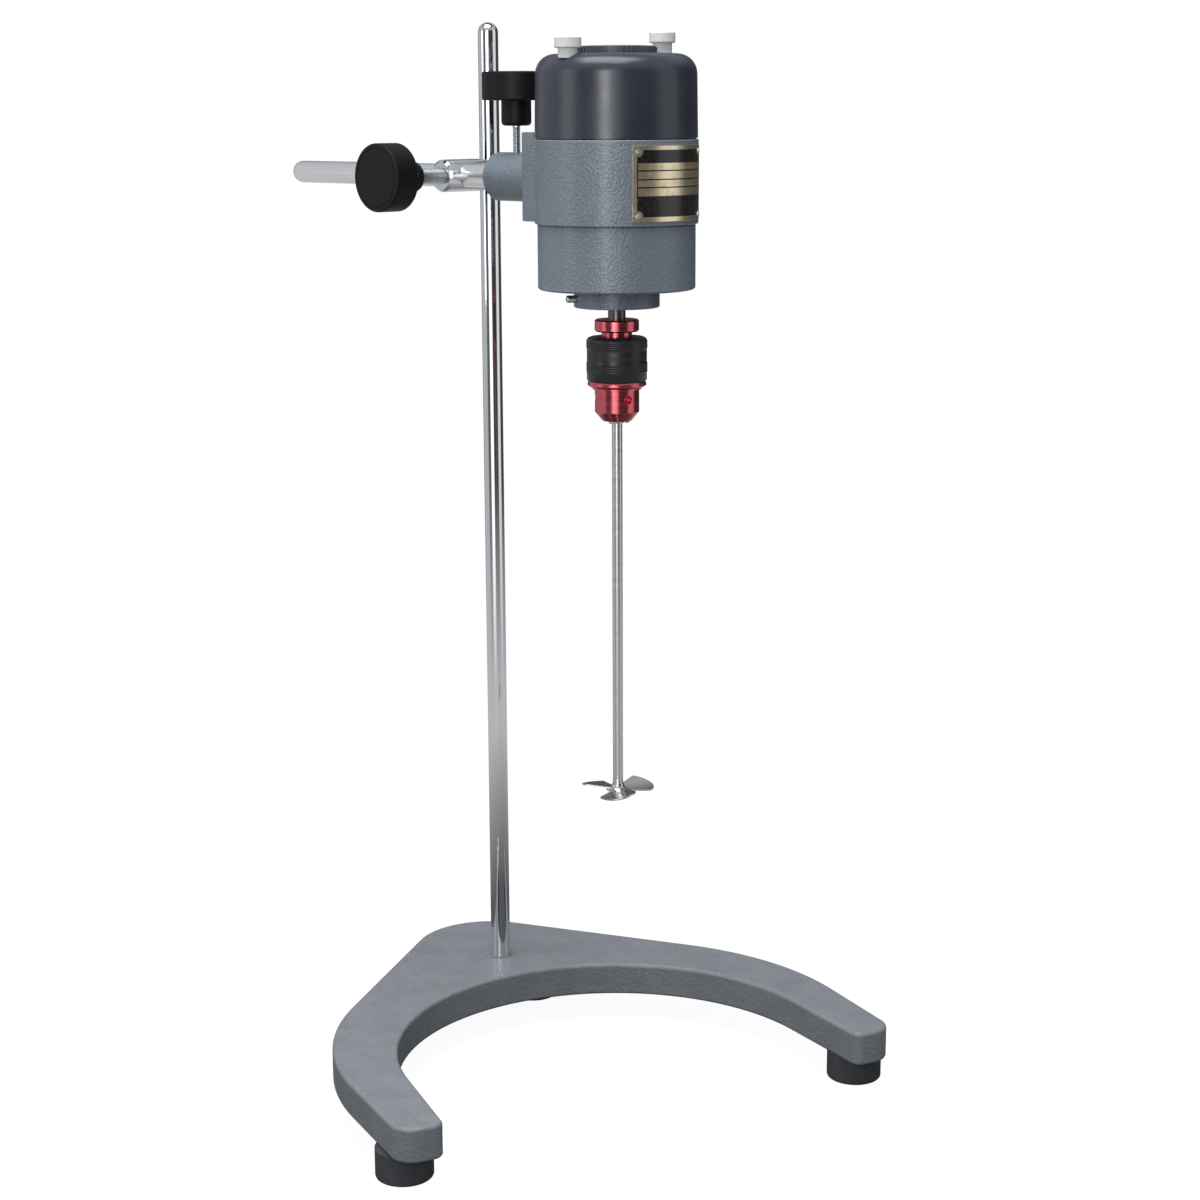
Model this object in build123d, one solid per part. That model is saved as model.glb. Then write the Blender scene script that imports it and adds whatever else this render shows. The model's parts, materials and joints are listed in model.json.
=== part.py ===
from build123d import *
import os
from math import acos, atan2, cos, degrees, hypot, pi, radians, sin, sqrt, tan

os.makedirs("parts", exist_ok=True)

# Laboratory overhead stirrer on a horseshoe base. Millimetres, +Z up, rest plane at Z = 0.
# The horseshoe opens towards -Y and is symmetric about X = 0. The origin is under the middle
# of the outline, so the stand rod stands behind it at Y = ROD_Y.

# ---- driving dimensions: base ----
FOOT_D = 43
FOOT_H = 23
FOOT_EDGE = 2.5
FOOT_INSET = 17.3
FOOT_SETBACK = 33
REAR_FOOT_X = 41
REAR_FOOT_BACK = 23
FOOT_SCREW_D = 6
FOOT_SCREW_HEAD_D = 13
FOOT_SCREW_HEAD_H = 4
FOOT_SCREW_RECESS = 9
PLATE_T = 27
SKIN_T = 9
WALL_T = 8
PLATE_EDGE = 3
PLATE_LOWER_EDGE = 2.5
APEX_BACK = 89
APEX_R = 62
SHOULDER_R = 211
HALF_WIDTH = 210.8
SHOULDER_FORWARD = 193.5
TIP_TUCK = 0.5
TIP_FORWARD = 289
TIP_CORNER_R = 18.5
TIP_INNER_R = 9
ARM_WIDTH = 42.8
ARCH_APEX_FORWARD = 46.5
ARM_FLARE = 6
FOOT_BOSS_D = 24
ROD_BOSS_D = 46

# ---- driving dimensions: stand rod ----
ROD_D = 16
ROD_SHOW = 776
ROD_SEAT = 12
STUD_D = 12
STUD_WEB = 5
WASHER_D = 26
WASHER_T = 1.6
NUT_AF = 19
NUT_H = 6.5
NUT_POCKET_D = 32
RUN_GAP = 0.05
FACE_GAP = 0.3

# ---- driving dimensions: cross clamp and support arm ----
ARM_HEIGHT = 708
ARM_YAW = 18.3
ROD_OFFSET = 33
BARREL_D = 25
BARREL_NEAR = 13
BARREL_FAR = 14
END_CAP_T = 6
END_CAP_CHAMFER = 2
END_CAP_SPIGOT_D = 18
END_CAP_SPIGOT_L = 2.5
SET_SCREW_D = 8
SET_SCREW_L = 10
SET_SCREW_KEY = 4
ARM_D = 18
ARM_TAIL = 206
ARM_IN_BOSS = 53
SIDE_SCREW_D = 11.6
SIDE_SCREW_BORE_L = 26
SIDE_PAD_T = 3

# ---- driving dimensions: black clamp knobs ----
KNOB_D = 52
KNOB_T = 21.5
KNOB_EDGE = 1.4
KNOB_HUB_D = 23
KNOB_HUB_L = 19
KNOB_HUB_EDGE = 3
KNOB_SCREW_DEPTH = 26
KNOB_LINE_INSET = 3.2
KNOB_LINE_W = 0.9
KNOB_LINE_DEPTH = 0.45
TOP_SCREW_D = 6
TOP_SCREW_SHOW = 20
TOP_PAD_T = 2

# ---- driving dimensions: motor shells, heights measured from the arm axis ----
ARM_SHOWS = 47
MID_D = 121
MID_TOP = 29
MID_BOTTOM = -32
MID_WALL = 5.5
PAD_W = 44
PAD_STEP = 20.5
PAD_RISE = 5
PAD_CORNER = 5
BOSS_D = 37
BOSS_STEP = 46
BOSS_EDGE = 1.2
TOP_SCREW_INSET = 20
LUG_OVER = 4.5
LUG_W = 10
LUG_TOP = 22
CAP_STEP = 0.5
CAP_TAPER = 0.7
CAP_H = 61
CAP_SHOULDER = 14.5
CAP_WALL = 3
CAP_VENT_D = 44
SEAM_BEVEL = 0.6
SEAM_H = 0.9
SEAM_DEPTH = 1.2
LOWER_STEP = 2
LOWER_H = 48
LOWER_WALL = 4
LOWER_FLOOR = 5
LOWER_EDGE = 1.2
VENT_COUNT = 12
VENT_W = 5
VENT_L = 12
VENT_AT = 38
VENT_START = 15
NECK_D = 48
NECK_LIP = 1.8
NECK_HOLE_D = 19
COLLAR_D = 64
COLLAR_H = 13.4
COLLAR_SLOT = 1.6
COLLAR_SCREW_D = 4
COLLAR_SCREW_HEAD_D = 5.5
COLLAR_SCREW_HEAD_L = 7
COLLAR_SCREW_ANGLE = 152
COLLAR_SLOT_ANGLE = 158

# ---- driving dimensions: fittings on the shells ----
COVER_D = 60
COVER_H = 5.5
COVER_RIBS = 48
COVER_RIB_W = 1.5
COVER_RIB_DEPTH = 0.9
MOULD_EDGE = 0.8
CAP_SCREW_INSET = 10.3
CAP_SCREW_HEAD_D = 19.4
CAP_SCREW_HEAD_H = 7.8
CAP_SCREW_NECK_D = 14.4
CAP_SCREW_NECK_RISE = (3.5, 8.5)
CAP_SCREW_SEAT = 3.5
CAP_SCREW_SHANK_D = 8
CAP_SCREW_SHANK_L = 24
CAP_BOSS_D = 18
CAP_BOSS_H = 11.5
PLATE_ARC = 69
NAMEPLATE_T = 0.8
NAMEPLATE_BOTTOM = -28.5
NAMEPLATE_H = 53.5
RIVET_D = 3.2
RIVET_H = 0.7
RIVET_INSET = 4
GLAND_D = 18
GLAND_L = 16
GLAND_BORE_D = 7
GLAND_ANGLE = 45
GLAND_Z = -8
BOLT_INSET = 10
BOLT_D = 4
BOLT_HEAD_D = 7.5
BOLT_HEAD_H = 2.6
BOLT_THREAD_L = 16

# ---- driving dimensions: motor insides ----
STACK_TOP = 14
STACK_BOTTOM = -22
YOKE_GAP = 9
YOKE_T = 8
POLE_BORE_D = 58
POLE_ARC = 100
COIL_OVERHANG = 7
COIL_ARC = 156
COIL_GAP = 0.4
ARMATURE_D = 56.6
ARMATURE_SLOTS = 12
ARMATURE_SLOT_W = 2.6
ARMATURE_SLOT_DEPTH = 9
WINDING_D = 50
WINDING_H = 7
COMMUTATOR_D = 28
COMMUTATOR_BOTTOM = 23
COMMUTATOR_H = 16
BRUSH_W = 6
BRUSH_L = 16
BRUSH_H = 9
HOLDER_W = 12
HOLDER_L = 26
HOLDER_H = 13
BRACKET_FLANGE_T = 4
BRACKET_WINDOW_D = 80
BRACKET_LEG_W = 9
BRACKET_HUB_D = 40
BRACKET_HUB_BOTTOM = 42
BRACKET_ROOF_T = 2
POST_D = 13
UPPER_BEARING = (10, 30, 9)
LOWER_BEARING = (15, 35, 11)
BALL_COUNT = 8
BALL_D = 4
BALL_GAP = 0.1
SPINDLE_D = 12
SPINDLE_NOSE_D = 13.2
SPINDLE_STUD_D = 10
SPINDLE_STUD_IN = 4
SPINDLE_SHOULDER = 1.5
SPINDLE_SHOULDER_H = 3
SPINDLE_END = 2
FAN_D = 88
FAN_PLATE_T = 2
FAN_BLADE_H = 12
FAN_BLADES = 12
FAN_BLADE_T = 1.8
FAN_HUB_D = 22
FAN_TOP = -42

# ---- driving dimensions: chuck, heights measured from the arm axis ----
CHUCK_TOP = -102.5
TOP_RING_D = 33.2
TOP_RING_H = 9
TOP_RING_BEVEL = 1
CHUCK_NECK_D = 22.8
CHUCK_NECK_H = 4
CHUCK_CORE_D = 29.6
SLEEVE_D = 45
SLEEVE_H = 32.3
SLEEVE_BEVEL = 3
SLEEVE_ROOF = 2.7
SLEEVE_BORE_D = 37
BAND_RISE = 0.45
BAND_GROOVES = 4
UPPER_BAND = (2.4, 8.4)
LOWER_BAND = (18.8, 26.2)
FLANGE_RING_D = 44
FLANGE_RING_H = 5
FLANGE_RING_LIP = 1.6
UNDERCUT_D = 36.6
UNDERCUT_H = 1.4
NOSE_D = 33.4
NOSE_H = 17
NOSE_CONE_H = 6.8
NOSE_END_D = 22.3
NOSE_MOUTH_D = 12.5
KEY_HOLE_D = 6.4
KEY_HOLE_DEPTH = 5
KEY_HOLE_DROP = 7
KEY_HOLE_ANGLE = -105
FLAT_ANGLE = 165
FLAT_DEPTH = 1.5
JAW_D = 6.4
JAW_TILT = 8
JAW_TIP_R = 6
JAW_TIP_Z = -180
JAW_LENGTH = 52
JAW_GRIP_GAP = 0.2
JAW_ANGLE = -45
JAW_TRAVEL = 5
NUT_RING_H = 9
NUT_RING_DROP = 12

# ---- driving dimensions: stirring shaft ----
SHAFT_D = 8
SHAFT_TOP = -134
SHAFT_BORE_EXTRA = 8
PROP_Z = -466.5
PROP_R = 30
PROP_HUB_D = 11
PROP_HUB_H = 9
BLADE_T = 1.2
BLADE_CORNER_R = 25.2
BLADE_CORNER_EDGE = 1
BLADE_ARC = 67
BLADE_ROOT_W = 9
BLADE_CAMBER_R = 80
BLADE_PITCH = 9
BLADE_ANGLE = -15

# ---- worked-out positions ----
FOOT_X = HALF_WIDTH - FOOT_INSET
FOOT_FORWARD = TIP_FORWARD - FOOT_SETBACK
ARCH_R = HALF_WIDTH - ARM_WIDTH
PAD_REACH = MID_D / 2 + PAD_STEP
BOSS_REACH = PAD_REACH + BOSS_STEP
TOP_SCREW_AT = BOSS_REACH - TOP_SCREW_INSET
REACH = BOSS_REACH + ARM_SHOWS
CAP_R = MID_D / 2 - CAP_STEP
CAP_TOP_R = CAP_R - CAP_TAPER
LOWER_D = MID_D - 2 * LOWER_STEP
CAP_SCREW_AT = CAP_TOP_R - CAP_SCREW_INSET
BOLT_AT = MID_D / 2 - BOLT_INSET
LUG_IN = BOLT_AT - LUG_OVER
YOKE_D = MID_D - 2 * MID_WALL - 2 * YOKE_GAP
PLATE_BOTTOM = FOOT_H
PLATE_TOP = PLATE_BOTTOM + PLATE_T
ROD_TOP = PLATE_TOP + ROD_SHOW
YAW = radians(ARM_YAW)
tail_back = -ROD_OFFSET * sin(YAW) + (ARM_TAIL - ARM_D / 2) * cos(YAW) + ARM_D / 2
ROD_Y = (TIP_FORWARD - tail_back) / 2
HEAD_X = -ROD_OFFSET * cos(YAW)
HEAD_Y = ROD_Y - ROD_OFFSET * sin(YAW)
HEAD = Location((HEAD_X, HEAD_Y, ARM_HEIGHT), (0, 0, ARM_YAW))
MOTOR = HEAD * Location((0, -REACH, 0))
LOWER_BOTTOM = MID_BOTTOM - LOWER_H
NECK_BOTTOM = LOWER_BOTTOM - LOWER_BEARING[2] - NECK_LIP
CAP_TOP = MID_TOP + CAP_H
RING_BOTTOM = CHUCK_TOP - TOP_RING_H
CORE_TOP = RING_BOTTOM - CHUCK_NECK_H
STUD_END = CORE_TOP - SPINDLE_STUD_IN
SLEEVE_BOTTOM = CORE_TOP - SLEEVE_H
FLANGE_TOP = SLEEVE_BOTTOM - FACE_GAP
FLANGE_BOTTOM = FLANGE_TOP - FLANGE_RING_H
NOSE_TOP = FLANGE_BOTTOM - UNDERCUT_H
CONE_TOP = NOSE_TOP - NOSE_H
NOSE_END = CONE_TOP - NOSE_CONE_H
SHAFT_BORE_D = SHAFT_D + 2 * JAW_GRIP_GAP
POST_TOP = CAP_TOP - CAP_SCREW_SEAT - CAP_BOSS_H
BOLT_SEAT = LOWER_BOTTOM + BOLT_HEAD_H + FACE_GAP
SIDE_BORE_D = SIDE_SCREW_D + 2 * RUN_GAP
TOP_BORE_D = TOP_SCREW_D + 2 * RUN_GAP
BARREL_END = BARREL_NEAR + END_CAP_T

BASE = (Align.CENTER, Align.CENTER, Align.MIN)
saved = []


def disc(diameter, low, high):
    """Upright cylinder between two heights."""
    return Pos(0, 0, low) * Cylinder(diameter / 2, high - low, align=BASE)


def ring(outer, inner, low, high):
    """Upright tube between two heights, from its two diameters."""
    return disc(outer, low, high) - disc(inner, low - 1, high + 1)


def turned(*points):
    """Solid of revolution about Z from (radius, height) corners."""
    return revolve(Plane.XZ * make_face(Polyline(*points, close=True)), Axis.Z)


def block(x, y, z):
    """Box from its three (low, high) pairs."""
    size = (x[1] - x[0], y[1] - y[0], z[1] - z[0])
    return Pos(x[0], y[0], z[0]) * Box(*size, align=(Align.MIN, Align.MIN, Align.MIN))


def around(shape, count, start=0):
    """Copies of a shape spaced evenly about Z."""
    return [Rot(0, 0, start + 360 * index / count) * shape for index in range(count)]


def along_y(shape):
    """Turns an upright shape so that its +Z runs along +Y."""
    return Rot(-90, 0, 0) * shape


def along_x(shape):
    """Turns an upright shape so that its +Z runs along +X."""
    return Rot(0, 90, 0) * shape


def save(name, shape, place=None):
    """Writes one sub-part, placed in the stirrer's frame."""
    solid = place * shape if place is not None else shape
    solids = solid.solids()
    result = solids[0] if len(solids) == 1 else Compound(children=list(solids))
    result.label = name
    export_step(result, f"parts/{name}.step")
    saved.append((name, result))


# ---- base ----
foot_places = {
    "foot_front_left": (-FOOT_X, ROD_Y - FOOT_FORWARD),
    "foot_front_right": (FOOT_X, ROD_Y - FOOT_FORWARD),
    "foot_rear_left": (-REAR_FOOT_X, ROD_Y + REAR_FOOT_BACK),
    "foot_rear_right": (REAR_FOOT_X, ROD_Y + REAR_FOOT_BACK),
}


def tangent_angle(start, start_r, end, end_r):
    """Angle of the outward normal where one line touches both circles on their +X side."""
    dx, dy = end[0] - start[0], end[1] - start[1]
    return degrees(atan2(dy, dx) + acos((start_r - end_r) / hypot(dx, dy)))


def on_circle(centre, radius, angle):
    return centre[0] + radius * cos(radians(angle)), centre[1] + radius * sin(radians(angle))


def base_outline():
    """Horseshoe outline: tangent arcs and lines down one side, mirrored to the other."""
    apex = (0, APEX_BACK - APEX_R)
    shoulder = (HALF_WIDTH - SHOULDER_R, -SHOULDER_FORWARD)
    tip = (HALF_WIDTH - TIP_TUCK - TIP_CORNER_R, TIP_CORNER_R - TIP_FORWARD)
    upper = tangent_angle(apex, APEX_R, shoulder, SHOULDER_R)
    lower = tangent_angle(shoulder, SHOULDER_R, tip, TIP_CORNER_R)
    arch = (0, -ARCH_APEX_FORWARD - ARCH_R)
    flare = degrees(atan2(ARM_FLARE, TIP_FORWARD + arch[1]))
    corner_y = TIP_INNER_R - TIP_FORWARD
    corner_x = (ARCH_R + (arch[1] - corner_y) * sin(radians(flare)) + TIP_INNER_R) / cos(radians(flare))
    corner = (corner_x, corner_y)
    side = [
        CenterArc(apex, APEX_R, 90, upper - 90),
        Line(on_circle(apex, APEX_R, upper), on_circle(shoulder, SHOULDER_R, upper)),
        CenterArc(shoulder, SHOULDER_R, upper, lower - upper),
        Line(on_circle(shoulder, SHOULDER_R, lower), on_circle(tip, TIP_CORNER_R, lower)),
        CenterArc(tip, TIP_CORNER_R, lower, -90 - lower),
        Line((tip[0], -TIP_FORWARD), (corner[0], -TIP_FORWARD)),
        CenterArc(corner, TIP_INNER_R, -90, flare - 90),
        Line(on_circle(corner, TIP_INNER_R, flare - 180), on_circle(arch, ARCH_R, flare)),
        CenterArc(arch, ARCH_R, flare, 90 - flare),
    ]
    return make_face(side + [mirror(edge, Plane.YZ) for edge in side])


def base_casting():
    outline = base_outline()
    plate = Pos(0, 0, PLATE_BOTTOM) * extrude(outline, PLATE_T)
    top_face = plate.faces().sort_by(Axis.Z)[-1]
    rim = top_face.outer_wire().edges()
    floor_face = plate.faces().sort_by(Axis.Z)[0]
    hollow = extrude(offset(floor_face, -WALL_T), -(PLATE_T - SKIN_T))
    plate = fillet(rim, PLATE_EDGE)
    plate = fillet(plate.faces().sort_by(Axis.Z)[0].edges(), PLATE_LOWER_EDGE) - hollow
    web_z = PLATE_TOP - ROD_SEAT - STUD_WEB
    plate += disc(ROD_BOSS_D, PLATE_BOTTOM, PLATE_TOP - SKIN_T)
    for x, y in foot_places.values():
        plate += Pos(x, y - ROD_Y) * disc(FOOT_BOSS_D, PLATE_BOTTOM, PLATE_TOP - SKIN_T)
    plate -= disc(ROD_D + 2 * RUN_GAP, PLATE_TOP - ROD_SEAT, PLATE_TOP + 1)
    plate -= disc(STUD_D + 2 * RUN_GAP, web_z - 1, PLATE_TOP)
    plate -= disc(NUT_POCKET_D, PLATE_BOTTOM - 1, web_z)
    for x, y in foot_places.values():
        plate -= Pos(x, y - ROD_Y) * disc(FOOT_SCREW_D, PLATE_BOTTOM - 1, PLATE_TOP - SKIN_T)
    return plate


def foot():
    body = disc(FOOT_D, 0, FOOT_H)
    body = fillet(body.faces().sort_by(Axis.Z)[0].edges(), FOOT_EDGE)
    body -= disc(FOOT_SCREW_HEAD_D + 1, -1, FOOT_SCREW_RECESS)
    return body - disc(FOOT_SCREW_D, -1, FOOT_H + 1)


def foot_screw():
    head = disc(FOOT_SCREW_HEAD_D, FOOT_SCREW_RECESS - FOOT_SCREW_HEAD_H, FOOT_SCREW_RECESS)
    shank_top = PLATE_TOP - SKIN_T - 2
    slot = block((-FOOT_SCREW_HEAD_D, FOOT_SCREW_HEAD_D), (-0.6, 0.6), (0, 1.2))
    slot = Pos(0, 0, FOOT_SCREW_RECESS - FOOT_SCREW_HEAD_H) * slot
    return head + disc(FOOT_SCREW_D, FOOT_SCREW_RECESS, shank_top) - slot


save("base_casting", base_casting(), Pos(0, ROD_Y, 0))
for foot_name, (foot_x, foot_y) in foot_places.items():
    save(foot_name, foot(), Pos(foot_x, foot_y, 0))
save("foot_screws", Compound(children=[Pos(x, y, 0) * foot_screw() for x, y in foot_places.values()]))

# ---- stand rod, washer and nut ----
web_top = PLATE_TOP - ROD_SEAT
web_bottom = web_top - STUD_WEB
nut_top = web_bottom - WASHER_T
rod = disc(ROD_D, web_top, ROD_TOP - ROD_D / 2)
rod += Pos(0, 0, ROD_TOP - ROD_D / 2) * Sphere(ROD_D / 2) & disc(ROD_D + 2, web_top, ROD_TOP + 1)
rod += disc(STUD_D, nut_top - NUT_H, web_top)
save("stand_rod", rod, Pos(0, ROD_Y, 0))
save("rod_washer", ring(WASHER_D, STUD_D, nut_top, web_bottom), Pos(0, ROD_Y, 0))
nut = extrude(RegularPolygon(NUT_AF / 2, 6, major_radius=False), NUT_H) - disc(STUD_D, -1, NUT_H + 1)
save("rod_nut", nut, Pos(0, ROD_Y, nut_top - NUT_H))

# ---- cross clamp: a round bar along the head's X, bored for the arm and for the stand rod ----
FAR_END = ROD_OFFSET + BARREL_FAR
arm_bore = along_y(disc(ARM_D + 2 * RUN_GAP, -BARREL_D, BARREL_D))
rod_bore = Pos(ROD_OFFSET, 0, 0) * disc(ROD_D + 2 * RUN_GAP, -BARREL_D, BARREL_D)
spigot_reach = BARREL_NEAR - END_CAP_SPIGOT_L


def cross_clamp():
    bar = along_x(disc(BARREL_D, -BARREL_NEAR, FAR_END))
    bar = chamfer(bar.faces().sort_by(Axis.X)[-1].edges(), END_CAP_CHAMFER)
    bar -= along_x(disc(END_CAP_SPIGOT_D, -BARREL_NEAR - 1, -spigot_reach))
    bar -= along_x(disc(SIDE_BORE_D, -BARREL_NEAR, 0))
    bar -= along_x(disc(SET_SCREW_D, ROD_OFFSET, FAR_END + 1))
    return bar - arm_bore - rod_bore


def clamp_end_cap():
    cap = along_x(disc(BARREL_D, -BARREL_END, -BARREL_NEAR))
    cap = chamfer(cap.faces().sort_by(Axis.X)[0].edges(), END_CAP_CHAMFER)
    cap += along_x(disc(END_CAP_SPIGOT_D, -BARREL_NEAR, -spigot_reach))
    cap -= along_x(disc(SIDE_BORE_D + 3, -BARREL_END - 1, -BARREL_END + 1))
    return cap - along_x(disc(SIDE_BORE_D, -BARREL_END - 1, 0))


def set_screw():
    tip = ROD_OFFSET + ROD_D / 2 + FACE_GAP
    body = along_x(disc(SET_SCREW_D, tip, tip + SET_SCREW_L))
    hexagon = RegularPolygon(SET_SCREW_KEY / 2, 6, major_radius=False)
    return body - Pos(tip + SET_SCREW_L / 2, 0, 0) * along_x(extrude(hexagon, SET_SCREW_L))


save("cross_clamp", cross_clamp(), HEAD)
save("clamp_end_cap", clamp_end_cap(), HEAD)
save("rod_set_screw", set_screw(), HEAD)

# ---- support arm ----
ARM_TIP = -(REACH - BOSS_REACH + ARM_IN_BOSS)
arm = along_y(disc(ARM_D, ARM_TIP, ARM_TAIL - ARM_D / 2))
arm = chamfer(arm.faces().sort_by(Axis.Y)[0].edges(), 1)
arm += Pos(0, ARM_TAIL - ARM_D / 2, 0) * Sphere(ARM_D / 2)
save("support_arm", arm, HEAD)


# ---- clamp knobs: drawn upright, the screw pointing down from the hub's end at Z = 0 ----
def knob(screw_d):
    body = disc(KNOB_HUB_D, 0, KNOB_HUB_L)
    body = fillet(body.faces().sort_by(Axis.Z)[0].edges(), KNOB_HUB_EDGE)
    head = disc(KNOB_D, KNOB_HUB_L, KNOB_HUB_L + KNOB_T)
    head = fillet(head.edges().filter_by(GeomType.CIRCLE), KNOB_EDGE)
    line_d = KNOB_D - 2 * KNOB_LINE_INSET
    face = KNOB_HUB_L + KNOB_T
    head -= ring(line_d, line_d - 2 * KNOB_LINE_W, face - KNOB_LINE_DEPTH, face + 1)
    return body + head - disc(screw_d, -1, KNOB_SCREW_DEPTH)


def knob_screw(screw_d, reach):
    body = disc(screw_d, -reach, KNOB_SCREW_DEPTH)
    return chamfer(body.faces().sort_by(Axis.Z)[0].edges(), screw_d / 12)


side_pad_face = ARM_D / 2 + FACE_GAP
side_pad_back = side_pad_face + SIDE_PAD_T
side_hub = side_pad_back + SIDE_SCREW_BORE_L + BARREL_END - BARREL_NEAR
SIDE = HEAD * Location((-side_hub, 0, 0)) * Rot(0, -90, 0)
save("side_pad", along_x(disc(SIDE_SCREW_D, -side_pad_back, -side_pad_face)), HEAD)
save("side_screw", knob_screw(SIDE_SCREW_D, side_hub - side_pad_back), SIDE)
save("side_knob", knob(SIDE_SCREW_D), SIDE)

top_pad_face = ARM_D / 2 + FACE_GAP
top_pad_back = top_pad_face + TOP_PAD_T
top_hub = BOSS_D / 2 + TOP_SCREW_SHOW
TOP = MOTOR * Location((0, TOP_SCREW_AT, top_hub))
save("top_pad", Pos(0, TOP_SCREW_AT, 0) * disc(TOP_SCREW_D, top_pad_face, top_pad_back), MOTOR)
save("top_screw", knob_screw(TOP_SCREW_D, top_hub - top_pad_back), TOP)
save("top_knob", knob(TOP_SCREW_D), TOP)


# ---- motor shells, drawn about the motor axis with the clamp side at +Y ----
def mid_housing():
    inner = MID_D - 2 * MID_WALL
    shell = disc(MID_D, MID_BOTTOM, MID_TOP)
    shell = chamfer(shell.edges().filter_by(GeomType.CIRCLE), SEAM_BEVEL)
    pad = block((-PAD_W / 2, PAD_W / 2), (0, PAD_REACH), (MID_BOTTOM, MID_TOP + PAD_RISE))
    pad = fillet(pad.faces().sort_by(Axis.Y)[-1].edges(), PAD_CORNER)
    boss = along_y(disc(BOSS_D, 0, BOSS_REACH))
    boss = chamfer(boss.faces().sort_by(Axis.Y)[-1].edges(), BOSS_EDGE)
    shell += pad + boss
    shell -= disc(MID_D + 2 * FACE_GAP, MID_TOP, MID_TOP + PAD_RISE + 1)
    shell -= disc(inner, MID_BOTTOM - 1, MID_TOP + PAD_RISE + 1)
    lug = block((LUG_IN, inner / 2 + 1), (-LUG_W / 2, LUG_W / 2), (MID_BOTTOM, LUG_TOP))
    lug -= Pos(BOLT_AT, 0) * disc(BOLT_D, MID_BOTTOM - 1, MID_BOTTOM + BOLT_THREAD_L)
    for copy in around(lug, 4, 45):
        shell += copy
    shell -= along_y(disc(ARM_D + 2 * RUN_GAP, BOSS_REACH - ARM_IN_BOSS - 1, BOSS_REACH + 1))
    shell -= Pos(0, TOP_SCREW_AT) * disc(TOP_BORE_D, 0, BOSS_D)
    gland_hole = Rot(0, 0, GLAND_ANGLE) * Pos(0, 0, GLAND_Z) * along_x(disc(GLAND_BORE_D, 0, MID_D))
    return shell - gland_hole


def cap_profile(inset):
    """Half section of the cap's outside, drawn in from it by a wall."""
    base_r = CAP_R - inset
    top_r = CAP_TOP_R - inset
    round_r = CAP_SHOULDER - inset
    top = CAP_TOP - inset
    low = MID_TOP
    side = Line((base_r, low), (top_r, top - round_r))
    arc = CenterArc((top_r - round_r, top - round_r), round_r, 0, 90)
    roof = Polyline((top_r - round_r, top), (0, top), (0, low), (base_r, low))
    return revolve(Plane.XZ * make_face([side, arc, roof]), Axis.Z)


def top_cap():
    outside = cap_profile(0)
    shell = outside - cap_profile(CAP_WALL) - disc(CAP_VENT_D, CAP_TOP - CAP_WALL - 1, CAP_TOP + 1)
    for side in (-1, 1):
        place = Pos(side * CAP_SCREW_AT, 0)
        shell += (place * disc(CAP_BOSS_D, POST_TOP, CAP_TOP)) & outside
        shell -= place * disc(CAP_SCREW_NECK_D + 2 * FACE_GAP, CAP_TOP - CAP_SCREW_SEAT, CAP_TOP + 1)
        shell -= place * disc(CAP_SCREW_SHANK_D + 2 * FACE_GAP, POST_TOP - 1, CAP_TOP)
    return shell - ring(2 * CAP_R + 2, 2 * (CAP_R - SEAM_DEPTH), MID_TOP - 1, MID_TOP + SEAM_H)


def lower_housing():
    shell = disc(LOWER_D, LOWER_BOTTOM, MID_BOTTOM)
    shell = chamfer(shell.faces().sort_by(Axis.Z)[0].edges(), LOWER_EDGE)
    shell -= disc(LOWER_D - 2 * LOWER_WALL, LOWER_BOTTOM + LOWER_FLOOR, MID_BOTTOM + 1)
    shell -= ring(LOWER_D + 2, LOWER_D - 2 * SEAM_DEPTH, MID_BOTTOM - SEAM_H, MID_BOTTOM + 1)
    shell += disc(NECK_D, NECK_BOTTOM, LOWER_BOTTOM)
    shell -= disc(LOWER_BEARING[1], LOWER_BOTTOM - LOWER_BEARING[2], LOWER_BOTTOM + LOWER_FLOOR + 1)
    shell -= disc(NECK_HOLE_D, NECK_BOTTOM - 1, LOWER_BOTTOM)
    slot = Pos(VENT_AT, 0) * SlotOverall(VENT_L, VENT_W)
    vent = Pos(0, 0, LOWER_BOTTOM - 1) * extrude(slot, LOWER_FLOOR + 2)
    for copy in around(vent, VENT_COUNT, VENT_START):
        shell -= copy
    hole = Pos(BOLT_AT, 0) * disc(BOLT_D, LOWER_BOTTOM - 1, LOWER_BOTTOM + LOWER_FLOOR + 1)
    hole += Pos(BOLT_AT, 0) * disc(BOLT_HEAD_D + 2 * FACE_GAP, LOWER_BOTTOM - 1, BOLT_SEAT)
    for copy in around(hole, 4, 45):
        shell -= copy
    return shell


COLLAR_MID = LOWER_BOTTOM - COLLAR_H / 2


def bearing_collar():
    body = ring(COLLAR_D, NECK_D, LOWER_BOTTOM - COLLAR_H, LOWER_BOTTOM)
    rims = body.edges().filter_by(GeomType.CIRCLE).group_by(SortBy.RADIUS)[-1]
    body = chamfer(rims, SEAM_BEVEL)
    heights = (LOWER_BOTTOM - COLLAR_H - 1, LOWER_BOTTOM + 1)
    slot = block((0, COLLAR_D), (-COLLAR_SLOT / 2, COLLAR_SLOT / 2), heights)
    body -= Rot(0, 0, COLLAR_SLOT_ANGLE) * slot
    hole = Pos(0, 0, COLLAR_MID) * along_x(disc(COLLAR_SCREW_D, NECK_D / 2 - 1, COLLAR_D))
    return body - Rot(0, 0, COLLAR_SCREW_ANGLE) * hole


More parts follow.
